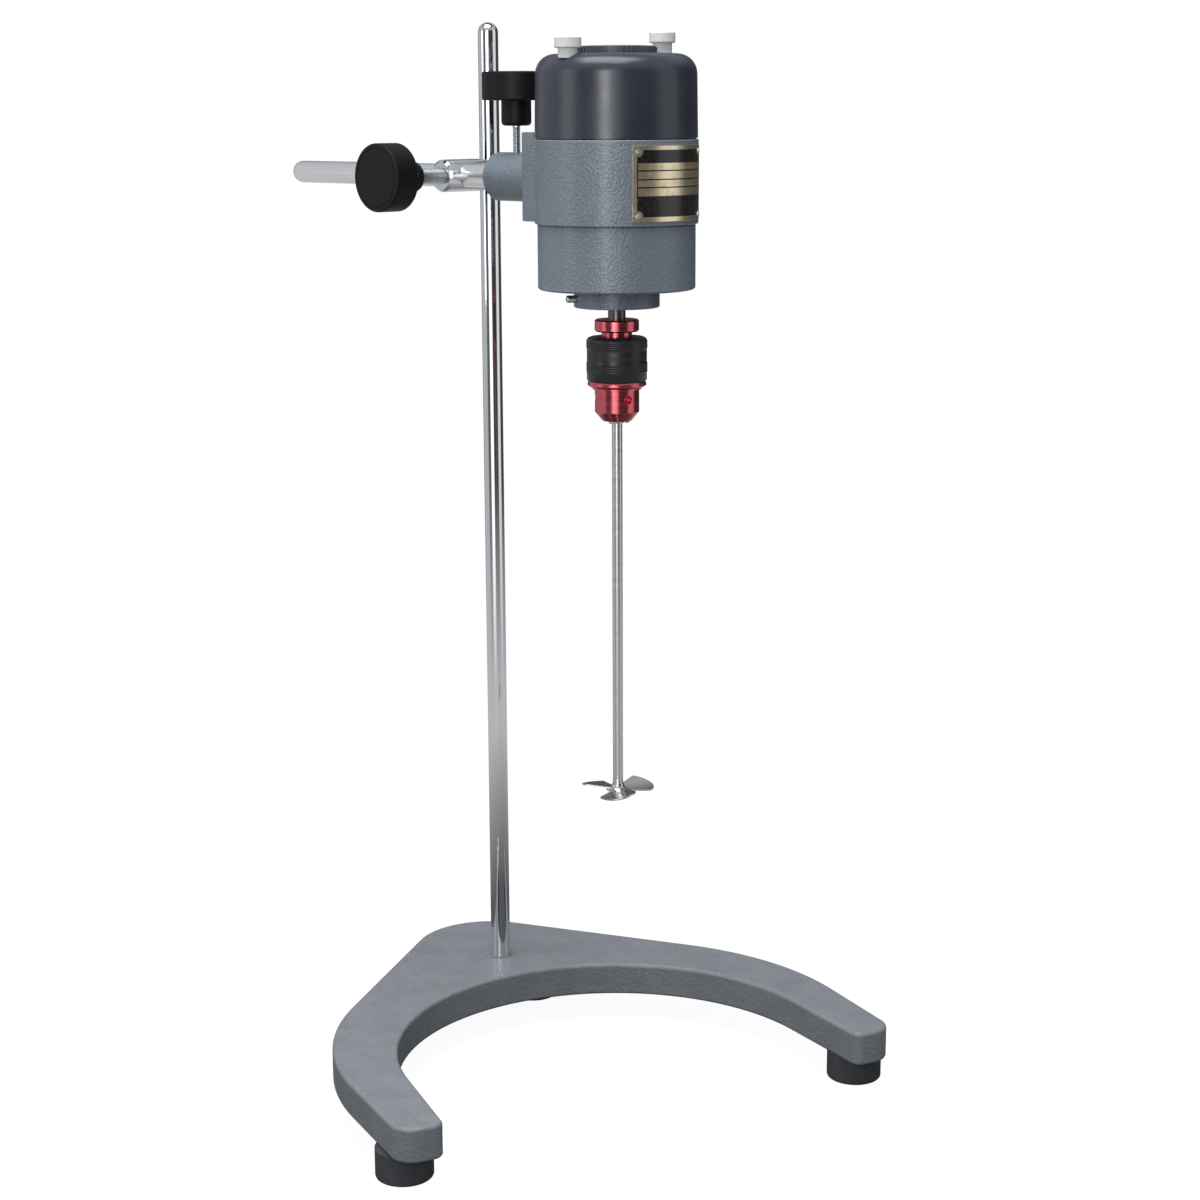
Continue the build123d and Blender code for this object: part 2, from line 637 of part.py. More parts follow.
def collar_screw():
    shank = along_x(disc(COLLAR_SCREW_D, NECK_D / 2, COLLAR_D / 2))
    head = along_x(disc(COLLAR_SCREW_HEAD_D, COLLAR_D / 2, COLLAR_D / 2 + COLLAR_SCREW_HEAD_L))
    head = fillet(head.faces().sort_by(Axis.X)[-1].edges(), 1)
    head -= block((COLLAR_D / 2 + COLLAR_SCREW_HEAD_L - 1.2, COLLAR_D), (-0.5, 0.5), (-9, 9))
    return Rot(0, 0, COLLAR_SCREW_ANGLE) * Pos(0, 0, COLLAR_MID) * (shank + head)


save("mid_housing", mid_housing(), MOTOR)
save("top_cap", top_cap(), MOTOR)
save("lower_housing", lower_housing(), MOTOR)
save("bearing_collar", bearing_collar(), MOTOR)
save("collar_screw", collar_screw(), MOTOR)


# ---- fittings on the shells ----
def vent_cover():
    plate_d = COVER_D - 2 * COVER_RIB_DEPTH
    body = disc(plate_d, CAP_TOP, CAP_TOP + COVER_H)
    body = fillet(body.faces().sort_by(Axis.Z)[-1].edges(), MOULD_EDGE)
    body -= disc(CAP_VENT_D, CAP_TOP - 1, CAP_TOP + COVER_H / 2)
    rib_x = (plate_d / 2 - 1, COVER_D / 2)
    rib = block(rib_x, (-COVER_RIB_W / 2, COVER_RIB_W / 2), (CAP_TOP, CAP_TOP + COVER_H - 1))
    for copy in around(rib, COVER_RIBS):
        body += copy
    return body


def cap_screw(rise):
    rim = CAP_TOP + rise
    seat = CAP_TOP - CAP_SCREW_SEAT
    head = disc(CAP_SCREW_HEAD_D, rim, rim + CAP_SCREW_HEAD_H)
    head = fillet(head.edges().filter_by(GeomType.CIRCLE), MOULD_EDGE)
    shank = disc(CAP_SCREW_SHANK_D, seat - CAP_SCREW_SHANK_L, seat)
    return head + disc(CAP_SCREW_NECK_D, seat, rim) + shank


def nameplate():
    outer = MID_D + 2 * NAMEPLATE_T
    body = ring(outer, MID_D + 2 * RUN_GAP, NAMEPLATE_BOTTOM, NAMEPLATE_BOTTOM + NAMEPLATE_H)
    half = PLATE_ARC / 2
    reach = outer
    corners = [(0, 0)]
    for angle in (-half, 0, half):
        corners.append((reach * sin(radians(angle)), -reach * cos(radians(angle))))
    sector = extrude(make_face(Polyline(*corners, close=True)), NAMEPLATE_H)
    return body & Pos(0, 0, NAMEPLATE_BOTTOM) * sector


def rivets():
    face = MID_D / 2 + NAMEPLATE_T
    swing = PLATE_ARC / 2 - RIVET_INSET / (MID_D / 2) * 180 / pi
    pieces = []
    for angle in (-swing, swing):
        for z in (NAMEPLATE_BOTTOM + RIVET_INSET, NAMEPLATE_BOTTOM + NAMEPLATE_H - RIVET_INSET):
            pin = along_y(disc(RIVET_D, 0, RIVET_H))
            pieces.append(Rot(0, 0, angle) * Pos(0, -face - RIVET_H, z) * pin)
    return Compound(children=pieces)


def cable_gland():
    face = sqrt((MID_D / 2) ** 2 - (GLAND_D / 2) ** 2)
    body = disc(GLAND_D, face, MID_D / 2 + GLAND_L) - disc(MID_D, face - 2, face - 1)
    body = chamfer(body.faces().sort_by(Axis.Z)[-1].edges(), 2)
    body -= disc(GLAND_BORE_D, face - 1, MID_D / 2 + GLAND_L + 1)
    body = Pos(0, 0, GLAND_Z) * along_x(body)
    return Rot(0, 0, GLAND_ANGLE) * (body - disc(MID_D, MID_BOTTOM, MID_TOP))


def housing_bolts():
    shank = disc(BOLT_D, BOLT_SEAT, MID_BOTTOM + BOLT_THREAD_L)
    head = disc(BOLT_HEAD_D, BOLT_SEAT - BOLT_HEAD_H, BOLT_SEAT)
    head = chamfer(head.faces().sort_by(Axis.Z)[0].edges(), BOLT_HEAD_H / 3)
    return Compound(children=around(Pos(BOLT_AT, 0) * (shank + head), 4, 45))


save("vent_cover", vent_cover(), MOTOR)
save("cap_screw_left", Pos(-CAP_SCREW_AT, 0) * cap_screw(CAP_SCREW_NECK_RISE[0]), MOTOR)
save("cap_screw_right", Pos(CAP_SCREW_AT, 0) * cap_screw(CAP_SCREW_NECK_RISE[1]), MOTOR)
save("nameplate", nameplate(), MOTOR)
save("nameplate_rivets", rivets(), MOTOR)
save("cable_gland", cable_gland(), MOTOR)
save("housing_bolts", housing_bolts(), MOTOR)


# ---- motor insides ----
def sector(outer, inner, arc, low, high):
    """Piece of a tube spread evenly about +Y."""
    half = radians(arc / 2)
    reach = outer * 2
    side_x, side_y = reach * sin(half), reach * cos(half)
    corners = [(0, 0), (side_x, side_y), (0, reach * 2), (-side_x, side_y)]
    wedge = Pos(0, 0, low) * extrude(make_face(Polyline(*corners, close=True)), high - low)
    return ring(outer, inner, low, high) & wedge


def stator_core():
    yoke_inner = YOKE_D - 2 * YOKE_T
    body = ring(YOKE_D, yoke_inner, STACK_BOTTOM, STACK_TOP)
    pole = sector(yoke_inner + 1, POLE_BORE_D, POLE_ARC, STACK_BOTTOM, STACK_TOP)
    for copy in around(pole, 2):
        body += copy
    return body


def field_coils():
    outer = YOKE_D - 2 * YOKE_T - 2 * COIL_GAP
    inner = POLE_BORE_D + 2 * COIL_GAP
    low, high = STACK_BOTTOM - COIL_OVERHANG, STACK_TOP + COIL_OVERHANG
    coil = sector(outer, inner, COIL_ARC, low, high)
    core = sector(outer + 2, inner - 2, POLE_ARC + 2, STACK_BOTTOM - COIL_GAP, STACK_TOP + COIL_GAP)
    return Compound(children=around(coil - core, 2))


def bearing_bracket():
    outer = MID_D - 2 * MID_WALL - 2 * RUN_GAP
    roof = BRACKET_HUB_BOTTOM + BRACKET_ROOF_T + UPPER_BEARING[2]
    body = ring(outer, BRACKET_WINDOW_D, LUG_TOP, LUG_TOP + BRACKET_FLANGE_T)
    leg = block((0, BRACKET_WINDOW_D / 2 + 5), (-BRACKET_LEG_W / 2, BRACKET_LEG_W / 2), (LUG_TOP, roof))
    leg -= disc(BRACKET_WINDOW_D, LUG_TOP - 1, BRACKET_HUB_BOTTOM)
    for copy in around(leg, 4, 45):
        body += copy
    body += disc(BRACKET_HUB_D, BRACKET_HUB_BOTTOM, roof)
    body -= disc(UPPER_BEARING[1], BRACKET_HUB_BOTTOM + BRACKET_ROOF_T, roof + 1)
    body -= disc(SPINDLE_D + 2, LUG_TOP, roof + 1)
    for side in (-1, 1):
        post = disc(POST_D, LUG_TOP, POST_TOP)
        post -= disc(CAP_SCREW_SHANK_D + 2 * RUN_GAP, LUG_TOP + BRACKET_FLANGE_T, POST_TOP + 1)
        body += (Pos(side * CAP_SCREW_AT, 0) * post) & disc(outer, LUG_TOP, POST_TOP)
    return body


def carbon_brush():
    start = COMMUTATOR_D / 2 + BALL_GAP
    mid = COMMUTATOR_BOTTOM + COMMUTATOR_H / 2
    heights = (mid - BRUSH_H / 2, mid + BRUSH_H / 2)
    return block((-BRUSH_W / 2, BRUSH_W / 2), (start, start + BRUSH_L), heights)


def brush_holder():
    start = COMMUTATOR_D / 2 + 4
    low = LUG_TOP + BRACKET_FLANGE_T
    body = block((-HOLDER_W / 2, HOLDER_W / 2), (start, start + HOLDER_L), (low, low + HOLDER_H))
    mid = COMMUTATOR_BOTTOM + COMMUTATOR_H / 2
    tunnel_y = (start - 1, COMMUTATOR_D / 2 + BALL_GAP + BRUSH_L)
    return body - block((-BRUSH_W / 2, BRUSH_W / 2), tunnel_y, (mid - BRUSH_H / 2, mid + BRUSH_H / 2))


def race_radii(bearing):
    """Inner and outer race radii, on either side of the ball circle."""
    pitch = (bearing[0] + bearing[1]) / 4
    return pitch - BALL_D / 2 - BALL_GAP, pitch + BALL_D / 2 + BALL_GAP


def save_bearing(name, bearing, low):
    """Writes a ball bearing's outer ring, balls and inner ring."""
    inner_race, outer_race = race_radii(bearing)
    high = low + bearing[2]
    middle = (low + high) / 2
    ball = Pos((bearing[0] + bearing[1]) / 4, 0, middle) * Sphere(BALL_D / 2)
    save(f"{name}_outer_ring", ring(bearing[1], 2 * outer_race, low, high), MOTOR)
    save(f"{name}_balls", Compound(children=around(ball, BALL_COUNT)), MOTOR)
    save(f"{name}_inner_ring", ring(2 * inner_race, bearing[0], low, high), MOTOR)


def spindle():
    upper_low = BRACKET_HUB_BOTTOM + BRACKET_ROOF_T
    lower_low = LOWER_BOTTOM - LOWER_BEARING[2]
    body = disc(UPPER_BEARING[0], upper_low, upper_low + UPPER_BEARING[2] + SPINDLE_END)
    body += disc(SPINDLE_D, LOWER_BOTTOM, upper_low)
    body += disc(LOWER_BEARING[0], lower_low, LOWER_BOTTOM)
    shoulder_d = LOWER_BEARING[0] + 2 * SPINDLE_SHOULDER
    body += disc(shoulder_d, LOWER_BOTTOM, LOWER_BOTTOM + SPINDLE_SHOULDER_H)
    body += disc(SPINDLE_NOSE_D, CHUCK_TOP, lower_low)
    return body + disc(SPINDLE_STUD_D, STUD_END, CHUCK_TOP)


def armature_core():
    body = ring(ARMATURE_D, SPINDLE_D, STACK_BOTTOM, STACK_TOP)
    slot_x = (ARMATURE_D / 2 - ARMATURE_SLOT_DEPTH, ARMATURE_D / 2 + 1)
    slot_y = (-ARMATURE_SLOT_W / 2, ARMATURE_SLOT_W / 2)
    slot = block(slot_x, slot_y, (STACK_BOTTOM - 1, STACK_TOP + 1))
    for copy in around(slot, ARMATURE_SLOTS):
        body -= copy
    return body


def armature_winding():
    """Two end turns joined by the bars that fill the core's slots."""
    low, high = STACK_BOTTOM - WINDING_H, STACK_TOP + WINDING_H
    end = ring(WINDING_D, SPINDLE_D + 6, STACK_TOP, high)
    end = fillet(end.faces().sort_by(Axis.Z)[-1].edges(), 2.5)
    body = end + Rot(180, 0, 0) * Pos(0, 0, -low - high) * end
    bar_x = (ARMATURE_D / 2 - ARMATURE_SLOT_DEPTH, WINDING_D / 2)
    bar_y = (-ARMATURE_SLOT_W / 2, ARMATURE_SLOT_W / 2)
    for copy in around(block(bar_x, bar_y, (STACK_BOTTOM, STACK_TOP)), ARMATURE_SLOTS):
        body += copy
    return body


def cooling_fan():
    plate_low = FAN_TOP - FAN_PLATE_T
    low = plate_low - FAN_BLADE_H
    body = disc(FAN_D, plate_low, FAN_TOP) + disc(FAN_HUB_D, low, FAN_TOP)
    blade_x = (FAN_HUB_D / 2 - 1, FAN_D / 2 - 1)
    vane = block(blade_x, (-FAN_BLADE_T / 2, FAN_BLADE_T / 2), (low, plate_low))
    for copy in around(vane, FAN_BLADES):
        body += copy
    return body - disc(SPINDLE_D, low - 1, FAN_TOP + 1)


save("stator_core", stator_core(), MOTOR)
save("field_coils", field_coils(), MOTOR)
save("bearing_bracket", bearing_bracket(), MOTOR)
save("carbon_brushes", Compound(children=around(carbon_brush(), 2)), MOTOR)
save("brush_holders", Compound(children=around(brush_holder(), 2)), MOTOR)
save_bearing("upper_bearing", UPPER_BEARING, BRACKET_HUB_BOTTOM + BRACKET_ROOF_T)
save_bearing("lower_bearing", LOWER_BEARING, LOWER_BOTTOM - LOWER_BEARING[2])
save("spindle", spindle(), MOTOR)
save("armature_core", armature_core(), MOTOR)
save("armature_winding", armature_winding(), MOTOR)
commutator_top = COMMUTATOR_BOTTOM + COMMUTATOR_H
save("commutator", ring(COMMUTATOR_D, SPINDLE_D, COMMUTATOR_BOTTOM, commutator_top), MOTOR)
save("cooling_fan", cooling_fan(), MOTOR)


# ---- chuck ----
def jaw_place(index):
    """Frame of one jaw: Z up along its bore, starting at the jaw's tip."""
    swing = JAW_ANGLE + 120 * index
    return Rot(0, 0, swing) * Pos(JAW_TIP_R, 0, JAW_TIP_Z) * Rot(0, JAW_TILT, 0)


def jaw(index):
    body = jaw_place(index) * disc(JAW_D, -JAW_D, JAW_LENGTH)
    body &= disc(SLEEVE_D, JAW_TIP_Z, CHUCK_TOP)
    return body - disc(SHAFT_D + 2 * JAW_GRIP_GAP, JAW_TIP_Z - 1, CHUCK_TOP)


def chuck_body():
    neck_r, core_r = CHUCK_NECK_D / 2, CHUCK_CORE_D / 2
    core_top = CORE_TOP - SLEEVE_ROOF - FACE_GAP
    body = turned(
        (0, NOSE_END), (NOSE_END_D / 2, NOSE_END), (NOSE_D / 2, CONE_TOP), (NOSE_D / 2, NOSE_TOP),
        (UNDERCUT_D / 2, NOSE_TOP), (UNDERCUT_D / 2, FLANGE_BOTTOM), (core_r, FLANGE_BOTTOM),
        (core_r, core_top), (neck_r, core_top), (neck_r, RING_BOTTOM), (0, RING_BOTTOM))
    body -= disc(SPINDLE_STUD_D, STUD_END, CHUCK_TOP)
    body -= disc(SHAFT_BORE_D, NOSE_END - 1, SHAFT_TOP + SHAFT_BORE_EXTRA)
    body -= turned((0, NOSE_END - 1), (NOSE_MOUTH_D / 2, NOSE_END - 1), (NOSE_MOUTH_D / 2, NOSE_END),
                   (SHAFT_BORE_D / 2, NOSE_END + 3), (0, NOSE_END + 3))
    for index in range(3):
        bore = jaw_place(index) * disc(JAW_D + 2 * RUN_GAP, -JAW_D, JAW_LENGTH + JAW_TRAVEL + 1)
        body -= bore
    key = along_x(disc(KEY_HOLE_D, NOSE_D / 2 - KEY_HOLE_DEPTH, NOSE_D))
    key = Pos(0, 0, NOSE_TOP - KEY_HOLE_DROP) * key
    for copy in around(key, 3, KEY_HOLE_ANGLE):
        body -= copy
    flat_x = NOSE_D / 2 - FLAT_DEPTH
    flat = block((flat_x, NOSE_D), (-NOSE_D, NOSE_D), (NOSE_END - 1, NOSE_TOP))
    for copy in around(flat, 2, FLAT_ANGLE):
        body -= copy
    return body


def top_ring():
    body = ring(TOP_RING_D, SPINDLE_STUD_D, RING_BOTTOM, CHUCK_TOP)
    rims = body.edges().filter_by(GeomType.CIRCLE).group_by(SortBy.RADIUS)[-1]
    return chamfer(rims, TOP_RING_BEVEL)


def band_points(band):
    """Zig-zag of fine grooves down one raised grip band, from top to bottom."""
    high, low = CORE_TOP - band[0], CORE_TOP - band[1]
    step = (high - low) / BAND_GROOVES
    plain, crest = SLEEVE_D / 2, SLEEVE_D / 2 + BAND_RISE
    points = []
    for index in range(BAND_GROOVES):
        top = high - index * step
        points += [(plain, top), (crest, top - 0.25 * step), (crest, top - 0.75 * step)]
    return points + [(plain, low)]


def chuck_sleeve():
    outer, bore, hole = SLEEVE_D / 2, SLEEVE_BORE_D / 2, CHUCK_NECK_D / 2 + FACE_GAP
    profile = [(hole, CORE_TOP - SLEEVE_ROOF), (hole, CORE_TOP), (outer - SLEEVE_BEVEL, CORE_TOP)]
    profile += [(outer, CORE_TOP - UPPER_BAND[0] + 0.6)]
    profile += band_points(UPPER_BAND) + band_points(LOWER_BAND)
    profile += [(outer, SLEEVE_BOTTOM), (bore, SLEEVE_BOTTOM), (bore, CORE_TOP - SLEEVE_ROOF)]
    return turned(*profile)


def jaw_nut():
    """Ring pressed in the sleeve, its taper bore following the jaws' backs."""
    high = CORE_TOP - NUT_RING_DROP
    low = high - NUT_RING_H

    def back(z):
        tilt = radians(JAW_TILT)
        return JAW_TIP_R + JAW_D / 2 / cos(tilt) + (z - JAW_TIP_Z) * tan(tilt) + FACE_GAP

    bore = SLEEVE_BORE_D / 2
    return turned((back(low), low), (bore, low), (bore, high), (back(high), high))


def flange_ring():
    core, outer = CHUCK_CORE_D / 2, FLANGE_RING_D / 2
    return turned(
        (core, FLANGE_BOTTOM), (outer - 2, FLANGE_BOTTOM), (outer, FLANGE_BOTTOM + FLANGE_RING_LIP),
        (outer, FLANGE_TOP - FLANGE_RING_LIP), (outer - 0.8, FLANGE_TOP), (core, FLANGE_TOP))


save("chuck_body", chuck_body(), MOTOR)
save("chuck_top_ring", top_ring(), MOTOR)
save("chuck_sleeve", chuck_sleeve(), MOTOR)
save("jaw_nut", jaw_nut(), MOTOR)
save("chuck_flange_ring", flange_ring(), MOTOR)
for jaw_index in range(3):
    save(f"jaw_{jaw_index + 1}", jaw(jaw_index), MOTOR)

# ---- stirring shaft and propeller ----
HUB_TOP = PROP_Z + PROP_HUB_H / 2
HUB_BOTTOM = PROP_Z - PROP_HUB_H / 2
save("stirrer_shaft", disc(SHAFT_D, HUB_BOTTOM + 1, SHAFT_TOP), MOTOR)


def blade():
    """Cambered leaf along +X: a piece of a wide tube cut to the blade's plan, then pitched."""
    half = radians(BLADE_ARC / 2)
    corner_x, corner_y = BLADE_CORNER_R * cos(half), BLADE_CORNER_R * sin(half)
    root_x, root_y = SHAFT_D / 2, BLADE_ROOT_W / 2
    plan = make_face([
        Line((root_x, -root_y), (corner_x, -corner_y)),
        ThreePointArc((corner_x, -corner_y), (PROP_R, 0), (corner_x, corner_y)),
        Line((corner_x, corner_y), (root_x, root_y)),
        Line((root_x, root_y), (root_x, -root_y)),
    ])
    prism = extrude(plan, BLADE_CAMBER_R / 8, both=True)
    prism = fillet(prism.edges().filter_by(Axis.Z).sort_by(Axis.X)[-2:], BLADE_CORNER_EDGE)
    tube = ring(2 * BLADE_CAMBER_R + BLADE_T, 2 * BLADE_CAMBER_R - BLADE_T, 0, PROP_R + 1)
    return Pos(0, 0, PROP_Z) * Rot(BLADE_PITCH, 0, 0) * (prism & Pos(0, 0, BLADE_CAMBER_R) * along_x(tube))


def propeller():
    stem_r, flare = SHAFT_D / 2 + 0.5, PROP_HUB_H / 2
    under, outer = PROP_Z - BLADE_T / 2, stem_r + flare
    curve = CenterArc((outer, HUB_TOP), flare, 180, 90)
    rest = Polyline((outer, PROP_Z), (outer, under), (PROP_HUB_D / 2, under), (PROP_HUB_D / 2, HUB_BOTTOM),
                    (0, HUB_BOTTOM), (0, HUB_TOP), (stem_r, HUB_TOP))
    body = revolve(Plane.XZ * make_face([curve, rest]), Axis.Z)
    for copy in around(blade(), 3, BLADE_ANGLE):
        body += copy
    return body - disc(SHAFT_D, HUB_BOTTOM + 1, HUB_TOP + 1)


save("propeller", propeller(), MOTOR)

whole = Compound(children=[shape for name, shape in saved])
box = whole.bounding_box()
print(f"{len(saved)} parts, box {box.min} to {box.max}")
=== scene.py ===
import json
from math import atan2, cos, degrees, pi, radians, sin, sqrt

import bmesh
import bpy
from mathutils import Matrix, Vector


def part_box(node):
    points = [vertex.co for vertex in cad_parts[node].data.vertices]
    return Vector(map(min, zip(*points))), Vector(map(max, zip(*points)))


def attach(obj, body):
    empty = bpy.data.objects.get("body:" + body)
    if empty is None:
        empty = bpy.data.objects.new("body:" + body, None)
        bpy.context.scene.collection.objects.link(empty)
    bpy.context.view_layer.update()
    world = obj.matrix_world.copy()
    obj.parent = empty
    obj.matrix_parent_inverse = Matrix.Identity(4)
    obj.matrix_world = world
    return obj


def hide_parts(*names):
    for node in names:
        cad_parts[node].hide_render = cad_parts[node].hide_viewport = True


# Laboratory overhead stirrer: finishes, fine pieces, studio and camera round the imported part.
# Metres, +Z up, the front of the horseshoe base towards -Y.

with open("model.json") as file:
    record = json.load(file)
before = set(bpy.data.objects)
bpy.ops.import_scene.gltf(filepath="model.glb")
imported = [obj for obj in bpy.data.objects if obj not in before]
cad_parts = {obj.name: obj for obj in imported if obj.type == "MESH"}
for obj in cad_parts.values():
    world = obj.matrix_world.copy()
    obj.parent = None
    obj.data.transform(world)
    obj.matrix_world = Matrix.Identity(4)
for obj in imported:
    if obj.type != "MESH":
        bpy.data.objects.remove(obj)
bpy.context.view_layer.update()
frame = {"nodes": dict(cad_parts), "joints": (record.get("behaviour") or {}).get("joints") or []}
nodes = frame["nodes"]
joints = {joint["name"]: joint for joint in frame["joints"]}

UP = Vector((0, 0, 1))
ROD_D = 0.016
TOP_SCREW_D = 0.006
TOP_PITCH = 0.001
KNOB_HUB_END = 0.0272
SIDE_SCREW_D = 0.0116
SIDE_PITCH = 0.00175
SIDE_SCREW_L = 0.058
SIDE_SCREW_OUT = 0.031
SLEEVE_R = 0.0225
PLATE_R = 0.0613
PLATE_REACH = 31.7
ENAMEL_T = 0.0001
NOTCH_R = 0.0037


def middle(node):
    low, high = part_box(node)
    return (low + high) / 2


MOTOR_AXIS = middle("stirrer_shaft")
ROD_AXIS = middle("stand_rod")
SIDE_AXIS = Vector(joints["side_knob_turn"]["axis"])
ARM_AXIS = Vector(joints["arm_slide"]["axis"])
HEAD_TURN = atan2(ARM_AXIS.x, -ARM_AXIS.y)


# ---- shader graphs ----
class Graph:
    """Short forms for adding and joining the nodes of one tree."""

    def __init__(self, tree):
        self.tree = tree

    def add(self, kind, inputs=None, **settings):
        node = self.tree.nodes.new("ShaderNode" + kind)
        for key, value in settings.items():
            setattr(node, key, value)
        for key, value in (inputs or {}).items():
            self.put(node.inputs[key], value)
        return node

    def put(self, socket, value):
        if isinstance(value, bpy.types.NodeSocket):
            self.tree.links.new(value, socket)
        else:
            socket.default_value = value

    def math(self, operation, first, second=0.0, clamp=False):
        node = self.add("Math", {0: first, 1: second}, operation=operation, use_clamp=clamp)
        return node.outputs[0]

    def ramp(self, value, low, high, start=0.0, end=1.0):
        node = self.add("MapRange", {"Value": value, "From Min": low, "From Max": high})
        self.put(node.inputs["To Min"], start)
        self.put(node.inputs["To Max"], end)
        return node.outputs["Result"]

    def noise(self, vector, scale, detail=2.0, roughness=0.5):
        inputs = {"Vector": vector, "Scale": scale, "Detail": detail, "Roughness": roughness}
        return self.add("TexNoise", inputs).outputs["Fac"]

    def mix(self, factor, first, second):
        node = self.add("Mix", data_type="RGBA")
        self.put(node.inputs["Factor"], factor)
        self.put(node.inputs[6], first)
        self.put(node.inputs[7], second)
        return node.outputs[2]

    def place(self):
        return self.add("TexCoord").outputs["Object"]

    def stretched(self, vector, scale):
        return self.add("Mapping", {"Vector": vector, "Scale": scale}).outputs["Vector"]


def effect(name, inputs, outputs):
    """An empty shader group with named number inputs and outputs."""
    tree = bpy.data.node_groups.new(name, "ShaderNodeTree")
    for label, value in inputs.items():
        socket = tree.interface.new_socket(label, in_out="INPUT", socket_type="NodeSocketFloat")
        socket.default_value = value
    for label in outputs:
        tree.interface.new_socket(label, in_out="OUTPUT", socket_type="NodeSocketFloat")
    graph = Graph(tree)
    entry = tree.nodes.new("NodeGroupInput")
    leave = tree.nodes.new("NodeGroupOutput")
    return graph, entry.outputs, leave.inputs


def hammer_grain():
    """Dimpled skin of hammer paint: Height for a bump, Tone for the pooled pigment."""
    graph, given, out = effect("hammer grain", {"Size": 0.002}, ["Height", "Tone"])
    place = graph.place()
    scale = graph.math("DIVIDE", 1.0, given["Size"])
    drift = graph.add("TexNoise", {"Vector": place, "Scale": scale, "Detail": 2.0})
    drift = drift.outputs["Color"]
    shift = graph.add("VectorMath", {0: drift}, operation="SCALE")
    graph.put(shift.inputs["Scale"], graph.math("MULTIPLY", given["Size"], 0.9))
    moved = graph.add("VectorMath", {0: place, 1: shift.outputs[0]}, operation="ADD").outputs[0]
    cells = graph.add("TexVoronoi", {"Vector": moved, "Scale": scale}, feature="SMOOTH_F1")
    cells.inputs["Smoothness"].default_value = 0.55
    dimple = graph.ramp(cells.outputs["Distance"], 0.05, 0.75)
    fine = graph.noise(place, graph.math("MULTIPLY", scale, 2.3), 2.0)
    graph.put(out["Height"], graph.math("ADD", dimple, graph.math("MULTIPLY", fine, 0.35)))
    broad = graph.noise(place, graph.math("MULTIPLY", scale, 0.05), 3.0)
    pooled = graph.math("MULTIPLY", dimple, 0.6)
    tone = graph.math("ADD", pooled, graph.math("MULTIPLY", broad, 0.4))
    graph.put(out["Tone"], tone)
    return graph.tree


def cast_skin():
    """Brushed-on paint over a sand casting: soft orange peel with a few nibs and sags."""
    graph, given, out = effect("cast skin", {"Size": 0.006, "Nibs": 0.5}, ["Height", "Tone"])
    place = graph.place()
    scale = graph.math("DIVIDE", 1.0, given["Size"])
    peel = graph.noise(place, scale, 3.0, 0.55)
    nib_scale = graph.math("MULTIPLY", scale, 1.7)
    nib_cells = graph.add("TexVoronoi", {"Vector": place, "Scale": nib_scale})
    nib = graph.ramp(nib_cells.outputs["Distance"], 0.14, 0.02)
    picked = graph.ramp(graph.noise(place, graph.math("MULTIPLY", scale, 0.4)), 0.58, 0.7)
    nibs = graph.math("MULTIPLY", graph.math("MULTIPLY", nib, picked), given["Nibs"])
    graph.put(out["Height"], graph.math("ADD", peel, nibs))
    graph.put(out["Tone"], graph.noise(place, graph.math("MULTIPLY", scale, 0.12), 4.0, 0.6))
    return graph.tree


def edge_wear():
    """Mask of the outer corners, broken up as handling wears them."""
    graph, given, out = effect("edge wear", {"Width": 0.001, "Amount": 0.5}, ["Mask"])
    soft = graph.add("Bevel", {"Radius": given["Width"]}, samples=6).outputs["Normal"]
    true = graph.add("NewGeometry").outputs["Normal"]
    agree = graph.add("VectorMath", {0: soft, 1: true}, operation="DOT_PRODUCT").outputs["Value"]
    corner = graph.ramp(agree, 0.995, 0.80)
    place = graph.place()
    patches = graph.ramp(graph.noise(place, 160.0, 4.0, 0.65), 0.35, 0.7)
    worn = graph.math("MULTIPLY", corner, patches)
    graph.put(out["Mask"], graph.math("MULTIPLY", worn, given["Amount"], clamp=True))
    return graph.tree


def settled_dust():
    """Mask of dust: more on faces that look up, gathered in soft patches."""
    graph, given, out = effect("settled dust", {"Amount": 0.3, "Size": 0.03}, ["Mask"])
    up = graph.add("SeparateXYZ", {0: graph.add("NewGeometry").outputs["Normal"]}).outputs["Z"]
    facing = graph.ramp(up, -0.6, 1.0, 0.25, 1.0)
    scale = graph.math("DIVIDE", 1.0, given["Size"])
    patch = graph.ramp(graph.noise(graph.place(), scale, 6.0, 0.7), 0.38, 0.72)
    lying = graph.math("MULTIPLY", facing, patch)
    mask = graph.math("MULTIPLY", lying, given["Amount"], clamp=True)
    graph.put(out["Mask"], mask)
    return graph.tree


def tool_lines():
    """Fine lathe lines stacked up the Z axis, with slow changes of shade between them."""
    graph, given, out = effect("tool lines", {"Pitch": 0.0004}, ["Height", "Tone"])
    rise = graph.add("SeparateXYZ", {0: graph.place()}).outputs["Z"]
    turns = graph.math("DIVIDE", rise, given["Pitch"])
    line = graph.add("TexNoise", {"W": turns, "Scale": 1.0, "Detail": 1.0}, noise_dimensions="1D")
    graph.put(out["Height"], line.outputs["Fac"])
    slow = graph.math("DIVIDE", turns, 9.0)
    band = graph.add("TexNoise", {"W": slow, "Scale": 1.0, "Detail": 3.0}, noise_dimensions="1D")
    graph.put(out["Tone"], band.outputs["Fac"])
    return graph.tree


HAMMER = hammer_grain()
CAST_SKIN = cast_skin()
EDGE_WEAR = edge_wear()
DUST = settled_dust()
TOOL_LINES = tool_lines()


